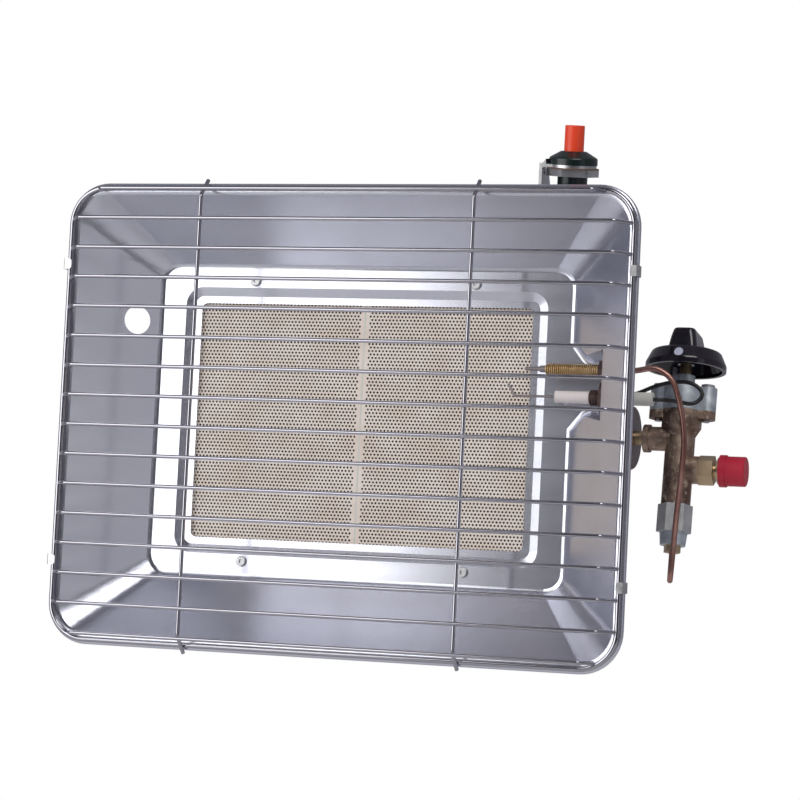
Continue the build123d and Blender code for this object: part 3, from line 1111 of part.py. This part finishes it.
os.makedirs("parts", exist_ok=True)
to_row_frame = Pos(-SOCKET_CENTRE.X, -SOCKET_CENTRE.Y, -SOCKET_CENTRE.Z)
for node, make in NODES.items():
    made = make()
    solids = made if isinstance(made, list) else [made]
    moved = [to_row_frame * solid for solid in solids]
    export_step(moved[0] if len(moved) == 1 else Compound(moved), f"parts/{node}.step")
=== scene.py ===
import json
import math

import bmesh
import bpy
from mathutils import Matrix, Vector


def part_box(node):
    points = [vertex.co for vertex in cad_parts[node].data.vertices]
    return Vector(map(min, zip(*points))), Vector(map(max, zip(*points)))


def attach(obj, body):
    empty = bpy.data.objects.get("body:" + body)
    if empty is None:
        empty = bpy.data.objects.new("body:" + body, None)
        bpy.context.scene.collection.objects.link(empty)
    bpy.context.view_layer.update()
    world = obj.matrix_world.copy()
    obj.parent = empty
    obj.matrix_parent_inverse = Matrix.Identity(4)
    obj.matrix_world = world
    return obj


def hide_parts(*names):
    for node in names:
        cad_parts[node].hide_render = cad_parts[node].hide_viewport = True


# Portable radiant gas heater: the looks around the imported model. The row frame is in metres, with
# its origin in the mouth of the post holder, +X towards the gas valve and -Y out of the dish.
# The sizes of its pieces are given in millimetres. The camera, the lights, the floor, the relief
# of the finishes and the length of the lead are given in metres.

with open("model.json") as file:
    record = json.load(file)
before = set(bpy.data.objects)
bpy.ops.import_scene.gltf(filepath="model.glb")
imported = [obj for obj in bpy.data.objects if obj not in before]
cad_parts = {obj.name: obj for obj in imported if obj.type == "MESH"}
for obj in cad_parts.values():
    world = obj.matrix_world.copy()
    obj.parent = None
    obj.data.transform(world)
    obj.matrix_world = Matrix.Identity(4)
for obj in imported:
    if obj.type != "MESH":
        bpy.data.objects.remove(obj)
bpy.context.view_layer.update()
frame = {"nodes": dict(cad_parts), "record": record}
nodes = frame["nodes"]
scene = bpy.context.scene
MM = 0.001

# ---------------------------------------------------------------- places taken from the frame

dish_low, dish_high = (Vector(p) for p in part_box("reflector"))
ring_high = Vector(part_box("guard_frame")[1])
# centre of the rim's front plane
RIM = Vector((0.0, ring_high.y, (dish_low.z + dish_high.z) / 2))


def at(x, y, z):
    """Point given in millimetres from the centre of the rim's front plane."""
    return RIM + Vector((x, y, z)) * MM


# ---------------------------------------------------------------- objects and meshes

def add_object(name, data):
    made = bpy.data.objects.new(name, data)
    scene.collection.objects.link(made)
    return made


def add_mesh(name, builder, *materials):
    """Object made from a bmesh, which is used up, with its materials in slot order."""
    mesh = bpy.data.meshes.new(name)
    builder.to_mesh(mesh)
    builder.free()
    for material in materials:
        mesh.materials.append(material)
    return add_object(name, mesh)


def join_rings(builder, first, second, shade=0):
    """Band of quads between two rings of as many vertices, with a material slot."""
    for side in range(len(first)):
        after = (side + 1) % len(first)
        band = builder.faces.new((first[side], first[after], second[after], second[side]))
        band.material_index = shade


# ---------------------------------------------------------------- camera, light and floor

CAMERA_PLACE = Vector((0.44802, -1.35046, 0.02316))
CAMERA_RIGHT = Vector((0.948317, 0.313514, 0.049031))
CAMERA_UP = Vector((-0.027405, -0.073022, 0.996954))
CAMERA_CLIP = (0.05, 50.0)
LENS, SENSOR = 120.63, 36.0
# azimuth and elevation in degrees seen from the rim, distance, width and height in metres, watts
SOFTBOXES = {
    "key": (-40.5, 12, 1.7, 1.5, 1.5, 17),
    "side": (62, 4, 1.6, 0.5, 0.9, 0.5),
    "top": (36, 46, 1.7, 0.9, 0.9, 10),
}
STUDIO_WHITE = (1, 1, 1, 1)
FILL_COLOUR = (0.88, 0.88, 1.0, 1)
# the room in front of the heater is darker than the room round it
DARK_SIDE = (0.0, -1.0, 0.0)
FILL_TURN, FILL_STRENGTH = (0.2, 0.9), (0.26, 0.08)
FLOOR_DROP, FLOOR_RADIUS, FLOOR_SIDES = 0.34, 1.3, 96


def add_camera():
    data = bpy.data.cameras.new("camera")
    data.lens, data.sensor_width = LENS, SENSOR
    data.clip_start, data.clip_end = CAMERA_CLIP
    camera = add_object("camera", data)
    back = CAMERA_RIGHT.cross(CAMERA_UP)
    turn = Matrix((CAMERA_RIGHT, CAMERA_UP, back)).transposed().to_4x4()
    camera.matrix_world = Matrix.Translation(CAMERA_PLACE) @ turn
    scene.camera = camera
    scene.view_settings.view_transform = "Standard"


def add_softbox(name, azimuth, elevation, distance, width, height, power):
    """Area light that faces the object's middle. Azimuth 0 is in front, positive to the right."""
    data = bpy.data.lights.new(name, "AREA")
    data.shape, data.size, data.size_y = "RECTANGLE", width, height
    data.energy = power
    light = add_object(name, data)
    turn, lift = math.radians(azimuth), math.radians(elevation)
    flat = math.cos(lift)
    away = Vector((math.sin(turn) * flat, -math.cos(turn) * flat, math.sin(lift)))
    light.location = RIM + away * distance
    light.rotation_euler = away.to_track_quat("Z", "Y").to_euler()


def set_ranges(map_range, low, high, to_low, to_high):
    """Fills in the sockets of a Map Range node."""
    for socket, number in (
        ("From Min", low), ("From Max", high), ("To Min", to_low), ("To Max", to_high),
    ):
        map_range.inputs[socket].default_value = number


def add_world():
    """White studio for the eye, with a softer and darker one for light and reflections."""
    world = bpy.data.worlds.new("studio")
    scene.world = world
    world.use_nodes = True
    tree = world.node_tree
    tree.nodes.clear()
    out = tree.nodes.new("ShaderNodeOutputWorld")
    mix = tree.nodes.new("ShaderNodeMixShader")
    path = tree.nodes.new("ShaderNodeLightPath")
    seen = tree.nodes.new("ShaderNodeBackground")
    seen.inputs["Color"].default_value = STUDIO_WHITE
    seen.inputs["Strength"].default_value = 1.0
    fill = tree.nodes.new("ShaderNodeBackground")
    fill.inputs["Color"].default_value = FILL_COLOUR
    towards = tree.nodes.new("ShaderNodeTexCoord")
    frontness = tree.nodes.new("ShaderNodeVectorMath")
    frontness.operation = "DOT_PRODUCT"
    frontness.inputs[1].default_value = DARK_SIDE
    strength = tree.nodes.new("ShaderNodeMapRange")
    set_ranges(strength, *FILL_TURN, *FILL_STRENGTH)
    tree.links.new(towards.outputs["Generated"], frontness.inputs[0])
    tree.links.new(frontness.outputs["Value"], strength.inputs["Value"])
    tree.links.new(strength.outputs["Result"], fill.inputs["Strength"])
    tree.links.new(path.outputs["Is Camera Ray"], mix.inputs["Fac"])
    tree.links.new(fill.outputs["Background"], mix.inputs[1])
    tree.links.new(seen.outputs["Background"], mix.inputs[2])
    tree.links.new(mix.outputs["Shader"], out.inputs["Surface"])


def add_floor():
    builder = bmesh.new()
    bmesh.ops.create_circle(builder, cap_ends=True, segments=FLOOR_SIDES, radius=FLOOR_RADIUS)
    floor = add_mesh("floor", builder, plain("floor_white", (0.86, 0.86, 0.86), roughness=0.7))
    floor.location = Vector((0, 0, -FLOOR_DROP))


# ---------------------------------------------------------------- materials

# noise is between these values nearly everywhere
NOISE_SPAN = (0.3, 0.7)
# noise scales of the mottled roughness and of the grain, and how far roughness strays
MOTTLE_SCALE, GRAIN_SCALE, MOTTLE = 220.0, 1600.0, 0.15


class Finish:
    """A procedural material that is built up node by node round one Principled shader."""

    def __init__(self, name, colour, metallic=0.0, roughness=0.4, **sockets):
        self.material = bpy.data.materials.new(name)
        self.material.use_nodes = True
        self.tree = self.material.node_tree
        self.shader = self.tree.nodes["Principled BSDF"]
        self.put("Base Color", (*colour, 1))
        self.put("Metallic", metallic)
        self.put("Roughness", roughness)
        for socket, value in sockets.items():
            self.put(socket.replace("_", " "), value)
        self.place = self.node("ShaderNodeTexCoord").outputs["Object"]
        self.height = None

    def put(self, socket, value):
        self.shader.inputs[socket].default_value = value

    def node(self, kind, **settings):
        made = self.tree.nodes.new(kind)
        for key, value in settings.items():
            setattr(made, key, value)
        return made

    def link(self, source, target):
        self.tree.links.new(source, target)

    def stretched(self, scale):
        """Object coordinates stretched by a vector, for grain that runs one way."""
        mapping = self.node("ShaderNodeMapping")
        mapping.inputs["Scale"].default_value = scale
        self.link(self.place, mapping.inputs["Vector"])
        return mapping.outputs["Vector"]

    def noise(self, scale, detail=3.0, stretch=None):
        made = self.node("ShaderNodeTexNoise")
        made.inputs["Scale"].default_value = scale
        made.inputs["Detail"].default_value = detail
        self.link(self.stretched(stretch) if stretch else self.place, made.inputs["Vector"])
        return made.outputs["Fac"]

    def spread(self, value, low, high, to_low, to_high):
        """Maps a value from one range onto another, clamped."""
        made = self.node("ShaderNodeMapRange")
        set_ranges(made, low, high, to_low, to_high)
        self.link(value, made.inputs["Value"])
        return made.outputs["Result"]

    def tint(self, value, first, second, low=0.35, high=0.65):
        """Base colour that goes from one colour to another with a texture value."""
        ramp = self.node("ShaderNodeValToRGB")
        for stop, place, colour in zip(ramp.color_ramp.elements, (low, high), (first, second)):
            stop.position, stop.color = place, (*colour, 1)
        self.link(value, ramp.inputs["Fac"])
        self.link(ramp.outputs["Color"], self.shader.inputs["Base Color"])
        return ramp.outputs["Color"]

    def stain(self, under, value, colour, low, high):
        """Lays a colour over another where a texture value is high."""
        mix = self.node("ShaderNodeMix", data_type="RGBA")
        self.link(self.spread(value, low, high, 0.0, 1.0), mix.inputs["Factor"])
        self.link(under, mix.inputs["A"])
        mix.inputs["B"].default_value = (*colour, 1)
        self.link(mix.outputs["Result"], self.shader.inputs["Base Color"])

    def rough(self, value, low, high):
        self.link(self.spread(value, *NOISE_SPAN, low, high), self.shader.inputs["Roughness"])

    def bump(self, value, distance):
        """Adds relief, on top of what is there already."""
        made = self.node("ShaderNodeBump")
        made.inputs["Strength"].default_value = 1.0
        made.inputs["Distance"].default_value = distance
        self.link(value, made.inputs["Height"])
        if self.height:
            self.link(self.height, made.inputs["Normal"])
        self.height = made.outputs["Normal"]
        self.link(self.height, self.shader.inputs["Normal"])


def plain(name, colour, metallic=0.0, roughness=0.4, grain=0.0, **sockets):
    """Even finish with slight mottling in roughness and, where given, a fine grain."""
    finish = Finish(name, colour, metallic, roughness, **sockets)
    low, high = roughness * (1 - MOTTLE), roughness * (1 + MOTTLE)
    finish.rough(finish.noise(MOTTLE_SCALE), low, high)
    if grain:
        finish.bump(finish.noise(GRAIN_SCALE, 2.0), grain)
    return finish.material


def bright_sheet():
    """Rolled sheet with its grain along X: reflections smear across the grain, up and down."""
    finish = Finish("bright_sheet", (0.70, 0.71, 0.78), 1.0, 0.23, Anisotropic=0.8)
    across_grain = finish.node("ShaderNodeCombineXYZ")
    across_grain.inputs["Z"].default_value = 1.0
    finish.link(across_grain.outputs["Vector"], finish.shader.inputs["Tangent"])
    finish.tint(finish.noise(11.0, 2.0), (0.67, 0.68, 0.755), (0.72, 0.73, 0.80))
    finish.rough(finish.noise(40.0, 3.0, (0.3, 1.0, 3.0)), 0.21, 0.25)
    finish.bump(finish.noise(9.0, 1.0), 0.00025)
    return finish.material


def tile_ceramic():
    """Cream fired ceramic, finely pitted and lightly uneven in tone."""
    finish = Finish("tile_ceramic", (0.9, 0.82, 0.77), 0.0, 0.9)
    finish.tint(finish.noise(55.0, 4.0), (0.89, 0.765, 0.665), (0.98, 0.885, 0.80))
    finish.bump(finish.noise(1500.0, 2.0), 0.00006)
    return finish.material


def cast_brass():
    """Sand-cast body, browned, with paler metal on the worn places."""
    finish = Finish("cast_brass", (0.3, 0.2, 0.12), 0.85, 0.5)
    patina = finish.noise(120.0, 5.0)
    base = finish.tint(patina, (0.19, 0.125, 0.10), (0.50, 0.37, 0.28), 0.36, 0.64)
    finish.stain(base, finish.noise(420.0, 4.0), (0.70, 0.57, 0.43), 0.56, 0.72)
    finish.rough(finish.noise(300.0), 0.38, 0.62)
    finish.bump(finish.noise(900.0, 4.0), 0.00022)
    return finish.material


def turned_brass():
    """Machined brass of the spindle, the inlet and the jet."""
    finish = Finish("turned_brass", (0.64, 0.48, 0.26), 1.0, 0.24)
    finish.tint(finish.noise(90.0, 3.0), (0.60, 0.46, 0.29), (0.70, 0.54, 0.35))
    finish.rough(finish.noise(500.0), 0.3, 0.4)
    return finish.material


def sleeve_brass():
    """Yellower brass of the threaded probe sleeve."""
    finish = Finish("sleeve_brass", (0.72, 0.52, 0.27), 1.0, 0.3)
    finish.tint(finish.noise(200.0, 3.0), (0.80, 0.56, 0.28), (0.95, 0.72, 0.42))
    finish.rough(finish.noise(400.0), 0.24, 0.38)
    return finish.material


def copper_line():
    """Dulled copper tube."""
    finish = Finish("copper_line", (0.42, 0.21, 0.16), 1.0, 0.33)
    finish.tint(finish.noise(90.0, 4.0), (0.31, 0.155, 0.13), (0.50, 0.28, 0.23))
    finish.rough(finish.noise(300.0), 0.26, 0.42)
    return finish.material


def grey_casting(name, light, dark):
    """Die-cast or machined light metal, cloudy between two greys."""
    finish = Finish(name, light, 0.9, 0.42)
    finish.tint(finish.noise(160.0, 4.0), dark, light)
    finish.bump(finish.noise(1200.0, 3.0), 0.00006)
    return finish.material


def zinc_plate():
    """Zinc-plated steel with its cloudy spangle."""
    finish = Finish("zinc_plate", (0.62, 0.62, 0.63), 1.0, 0.33)
    finish.tint(finish.noise(130.0, 4.0), (0.53, 0.53, 0.54), (0.68, 0.68, 0.69))
    finish.rough(finish.noise(260.0), 0.26, 0.42)
    finish.bump(finish.noise(1400.0, 2.0), 0.00001)
    return finish.material


def guard_wire():
    """Bright drawn wire."""
    finish = Finish("guard_wire", (0.44, 0.43, 0.47), 1.0, 0.1)
    finish.rough(finish.noise(120.0, 3.0), 0.07, 0.13)
    finish.bump(finish.noise(500.0, 2.0), 0.00001)
    return finish.material


# material slots with a pattern of their own
PATTERNED = {
    "bright_sheet": bright_sheet,
    "tile_ceramic": tile_ceramic,
    "zinc_steel": zinc_plate,
    "guard_chrome": guard_wire,
    "brass": cast_brass,
    "bright_brass": turned_brass,
    "copper": copper_line,
}
# light and dark grey of the cloudy castings
CASTINGS = {
    "cast_zinc": ((0.82, 0.88, 0.92), (0.52, 0.57, 0.61)),
    "hex_aluminium": ((0.78, 0.78, 0.77), (0.62, 0.62, 0.62)),
}
# colour, metallic, roughness and, where there is one, the relief of the grain
EVEN = {
    "plain_sheet": ((0.5, 0.5, 0.51), 1.0, 0.45, 0.00001),
    "fibre_seal": ((0.8, 0.77, 0.7), 0.0, 0.95, 0.0002),
    "dark_steel": ((0.13, 0.085, 0.08), 0.75, 0.3, 0.00003),
    "probe_steel": ((0.34, 0.30, 0.30), 1.0, 0.32),
    "white_glaze": ((0.88, 0.80, 0.79), 0.0, 0.25),
    "cream_boot": ((0.78, 0.77, 0.7), 0.0, 0.45),
    "lead_sheath": ((0.012, 0.012, 0.013), 0.0, 0.33),
    "igniter_black": ((0.003, 0.013, 0.011), 0.0, 0.3),
    "red_gloss": ((1.0, 0.08, 0.025), 0.0, 0.34),
    "spring_steel": ((0.55, 0.55, 0.55), 1.0, 0.3),
    "brown_fibre": ((0.16, 0.09, 0.05), 0.0, 0.7, 0.00005),
    "knob_black": ((0.008, 0.004, 0.011), 0.0, 0.16),
    "cap_red": ((0.62, 0.018, 0.05), 0.0, 0.42),
}
# clear coat over some of the even ones
COATS = {
    "white_glaze": {"Coat_Weight": 0.4},
    "igniter_black": {"Coat_Weight": 0.15},
    "knob_black": {"Coat_Weight": 0.4, "Coat_Roughness": 0.05},
}


def finish_for(slot):
    if slot in PATTERNED:
        return PATTERNED[slot]()
    if slot in CASTINGS:
        return grey_casting(slot, *CASTINGS[slot])
    return plain(slot, *EVEN[slot], **COATS.get(slot, {}))


def dress_nodes():
    """Gives every CAD node the finish of its material slot."""
    made = {}
    for part in frame["record"]["subparts"]:
        slot = part["material_slot"]
        if slot not in made:
            made[slot] = finish_for(slot)
        for slot_of_object in nodes[part["node"]].material_slots:
            slot_of_object.material = made[slot]
    return made


# ---------------------------------------------------------------- ignition lead

LEAD_DIAMETER = 2.0
LEAD_ROUTE = (
    (106.12, 33.12, 92.28), (105.64, 34.68, 83.43), (108.3, 39.5, 73.5), (111.3, 43.0, 63.0),
    (114.8, 45.0, 52.0), (117.5, 46.0, 41.5), (119.6, 46.0, 33.0), (122.5, 46.0, 26.0),
    (127.8, 45.8, 20.9), (134.6, 45.4, 18.6), (141.4, 45.0, 20.2), (150.3, 44.5, 24.3),
    (160.6, 44.0, 26.8), (170.2, 43.5, 25.9), (175.3, 43.0, 20.2), (170.6, 41.0, 15.1),
    (163.4, 36.0, 16.2), (160.4, 24.0, 16.1), (154.2, 24.0, 16.1),
)
# how finely the lead is cut round its section and along its run
LEAD_ROUND, LEAD_STEPS = 5, 12


def add_lead(material):
    """High-tension lead from the igniter's terminal, round its loop, to the electrode's boot."""
    curve = bpy.data.curves.new("ignition_cable", "CURVE")
    curve.dimensions = "3D"
    curve.bevel_depth, curve.bevel_resolution = LEAD_DIAMETER / 2 * MM, LEAD_ROUND
    curve.resolution_u = LEAD_STEPS
    spline = curve.splines.new("NURBS")
    spline.points.add(len(LEAD_ROUTE) - 1)
    for point, place in zip(spline.points, LEAD_ROUTE):
        point.co = (*at(*place), 1)
    spline.order_u = 3
    spline.use_endpoint_u = True
    curve.materials.append(material)
    lead = add_object("ignition_cable", curve)
    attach(lead, "head")
    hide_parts("ignition_lead")


# ---------------------------------------------------------------- perforated tiles

HOLE_R = 0.59
HOLE_PITCH, ROW_PITCH = 1.88, 1.75
HOLE_DEPTH = 2.6
TILE_EDGE = 0.9
# corners of a hole, in the order of the six points on the edge of its cell
HOLE_CORNERS = (-30, 30, 90, 150, 210, 270)


def add_tile(node, material, dark):
    """Tile with staggered rows of holes: a face of cells, each with a six-sided sunk hole whose
    walls and floor take the second slot, a dark brown painted shade.
    """
    low, high = (Vector(p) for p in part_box(node))
    left, right = low.x / MM, high.x / MM
    bottom, top = (low.z - RIM.z) / MM, (high.z - RIM.z) / MM
    front, back = (low.y - RIM.y) / MM, (high.y - RIM.y) / MM
    columns = int((right - left - 2 * TILE_EDGE) / HOLE_PITCH - 0.5)
    rows = int((top - bottom - 2 * TILE_EDGE) / ROW_PITCH)
    start_x = (left + right) / 2 - (columns + 0.5) * HOLE_PITCH / 2
    start_z = (top + bottom) / 2 - rows * ROW_PITCH / 2
    builder = bmesh.new()
    cache = {}

    def corner(x, y, z):
        key = (round(x, 3), round(y, 3), round(z, 3))
        if key not in cache:
            cache[key] = builder.verts.new(at(x, y, z))
        return cache[key]

    def front_face(x0, x1, z0, z1):
        builder.faces.new([
            corner(x, front, z) for x, z in ((x0, z0), (x1, z0), (x1, z1), (x0, z1))])

    def hexagon(x, y, z):
        return [
            corner(x + HOLE_R * math.cos(turn), y, z + HOLE_R * math.sin(turn))
            for turn in map(math.radians, HOLE_CORNERS)
        ]

    for row in range(rows):
        z0 = start_z + row * ROW_PITCH
        z1, middle = z0 + ROW_PITCH, z0 + ROW_PITCH / 2
        first = start_x + (HOLE_PITCH / 2 if row % 2 else 0.0)
        for column in range(columns):
            x0 = first + column * HOLE_PITCH
            x1, centre = x0 + HOLE_PITCH, x0 + HOLE_PITCH / 2
            outline = [
                corner(x1, front, z0), corner(x1, front, z1), corner(centre, front, z1),
                corner(x0, front, z1), corner(x0, front, z0), corner(centre, front, z0),
            ]
            mouth = hexagon(centre, front, middle)
            deep = hexagon(centre, front + HOLE_DEPTH, middle)
            join_rings(builder, outline, mouth)
            # walls and floor of the hole: slot 1, a dark brown painted shade in place of the
            # ceramic's own colour
            join_rings(builder, mouth, deep, 1)
            builder.faces.new(deep).material_index = 1
        # blank ends of the row
        front_face(left, first, z0, z1)
        front_face(first + columns * HOLE_PITCH, right, z0, z1)
    # blank bands under and over the rows
    front_face(left, right, bottom, start_z)
    front_face(left, right, start_z + rows * ROW_PITCH, top)
    edge = ((left, bottom), (right, bottom), (right, top), (left, top))
    join_rings(
        builder, [corner(x, back, z) for x, z in edge], [corner(x, front, z) for x, z in edge])
    builder.faces.new([corner(x, back, z) for x, z in (edge[0], edge[3], edge[2], edge[1])])
    tile = add_mesh("perforated_" + node, builder, material, dark)
    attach(tile, "head")
    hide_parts(node)


# ---------------------------------------------------------------- threaded sleeve

SLEEVE_R, SLEEVE_BORE_R, SLEEVE_BORE_L, SLEEVE_END_R = 2.8, 1.75, 3.0, 0.7
THREAD_DEPTH, THREAD_PITCH = 0.4, 0.98
# where the crest starts and ends, as shares of the pitch
CREST = (0.25, 0.6)
SLEEVE_SIDES = 40


def add_sleeve(material, flank_shade_material):
    """Brass probe sleeve with its fine outer thread, turned about the node's own axis. The falling
    flank of each thread ridge takes the second slot, a darker brown painted shade.
    """
    low, high = (Vector(p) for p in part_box("thermocouple_sleeve"))
    axis_y, axis_z = (low.y + high.y) / 2, (low.z + high.z) / 2
    turns = int((high.x - low.x) / MM / THREAD_PITCH)
    pitch = (high.x - low.x) / turns
    root = SLEEVE_R - THREAD_DEPTH
    # stations along X: radius there, and the material slot of the band that follows
    profile = [(low.x + SLEEVE_BORE_L * MM, SLEEVE_BORE_R, 0), (low.x, SLEEVE_BORE_R, 0)]
    for turn in range(turns):
        start = low.x + turn * pitch
        crest_start, crest_end = (start + share * pitch for share in CREST)
        # slot 1 on the band from the crest's end down to the next root: painted shade on that flank
        profile += [(start, root, 0), (crest_start, SLEEVE_R, 0), (crest_end, SLEEVE_R, 1)]
    profile += [(high.x, root, 0), (high.x, SLEEVE_END_R, 0)]
    builder = bmesh.new()
    rings = []
    for x, radius, _ in profile:
        ring = []
        for side in range(SLEEVE_SIDES):
            angle = 2 * math.pi * side / SLEEVE_SIDES
            offset = Vector((0, math.cos(angle), math.sin(angle))) * radius * MM
            ring.append(builder.verts.new(Vector((x, axis_y, axis_z)) + offset))
        rings.append(ring)
    for (_, _, shade), first, second in zip(profile, rings, rings[1:]):
        join_rings(builder, first, second, shade)
    bmesh.ops.recalc_face_normals(builder, faces=builder.faces)
    sleeve = add_mesh("threaded_sleeve", builder, material, flank_shade_material)
    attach(sleeve, "head")
    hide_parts("thermocouple_sleeve")


# ---------------------------------------------------------------- position mark on the knob

VALVE_CENTRE = Vector((160.0, 62.0, -0.9))
VALVE_LEAN = math.radians(8.5)
MARK_HEIGHT, MARK_RADIUS, MARK_PROUD, MARK_SIDES = 40.5, 2.2, 0.06, 32
# rings of the mark from its middle out, as shares of its radius, and the last one in the skirt
MARK_RINGS, MARK_FOOT = (0.33, 0.66, 1.0), 1.04
SKIRT_R, SKIRT_HEIGHT, SKIRT_SLOPE = 20.2, 38.0, 2.9 / 6.2


def skirt_radius(height):
    return SKIRT_R - (height - SKIRT_HEIGHT) * SKIRT_SLOPE


def on_skirt(turn, height, proud):
    """Point on the knob's slanted skirt, at a turn about the valve axis and a height along it."""
    radius = skirt_radius(height) + proud
    x, y = radius * math.sin(turn), -radius * math.cos(turn)
    lean_sin, lean_cos = math.sin(VALVE_LEAN), math.cos(VALVE_LEAN)
    leant = Vector((x, y * lean_cos + height * lean_sin, height * lean_cos - y * lean_sin))
    return at(*(VALVE_CENTRE + leant))


def add_mark(material):
    """Pale round position mark on the front of the knob's skirt."""
    builder = bmesh.new()
    rings = []
    for share in (*MARK_RINGS, MARK_FOOT):
        reach, proud = MARK_RADIUS * share, -MARK_PROUD if share == MARK_FOOT else MARK_PROUD
        ring = []
        for side in range(MARK_SIDES):
            angle = 2 * math.pi * side / MARK_SIDES
            turn = reach * math.cos(angle) / skirt_radius(MARK_HEIGHT)
            height = MARK_HEIGHT + reach * math.sin(angle)
            ring.append(builder.verts.new(on_skirt(turn, height, proud)))
        rings.append(ring)
    builder.faces.new(rings[0])
    for inner, outer in zip(rings, rings[1:]):
        join_rings(builder, inner, outer)
    bmesh.ops.recalc_face_normals(builder, faces=builder.faces)
    mark = add_mesh("knob_mark", builder, material)
    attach(mark, "knob")


# ---------------------------------------------------------------- build

add_camera()
add_world()
for softbox, settings in SOFTBOXES.items():
    add_softbox(softbox, *settings)
finishes = dress_nodes()
add_floor()
add_lead(finishes["lead_sheath"])
# dark brown painted shade for the walls and floors of the tile holes
painted_hole_shade = plain("painted_hole_shade", (0.045, 0.026, 0.016), roughness=0.9)
for tile_node in ("burner_tile_left", "burner_tile_right"):
    add_tile(tile_node, finishes["tile_ceramic"], painted_hole_shade)
# second finish: darker brown painted shade on one flank of each thread ridge
add_sleeve(sleeve_brass(), plain("painted_thread_shade", (0.26, 0.16, 0.07), 1.0, 0.5))
add_mark(plain("mark_white", (0.72, 0.74, 0.9), roughness=0.3))
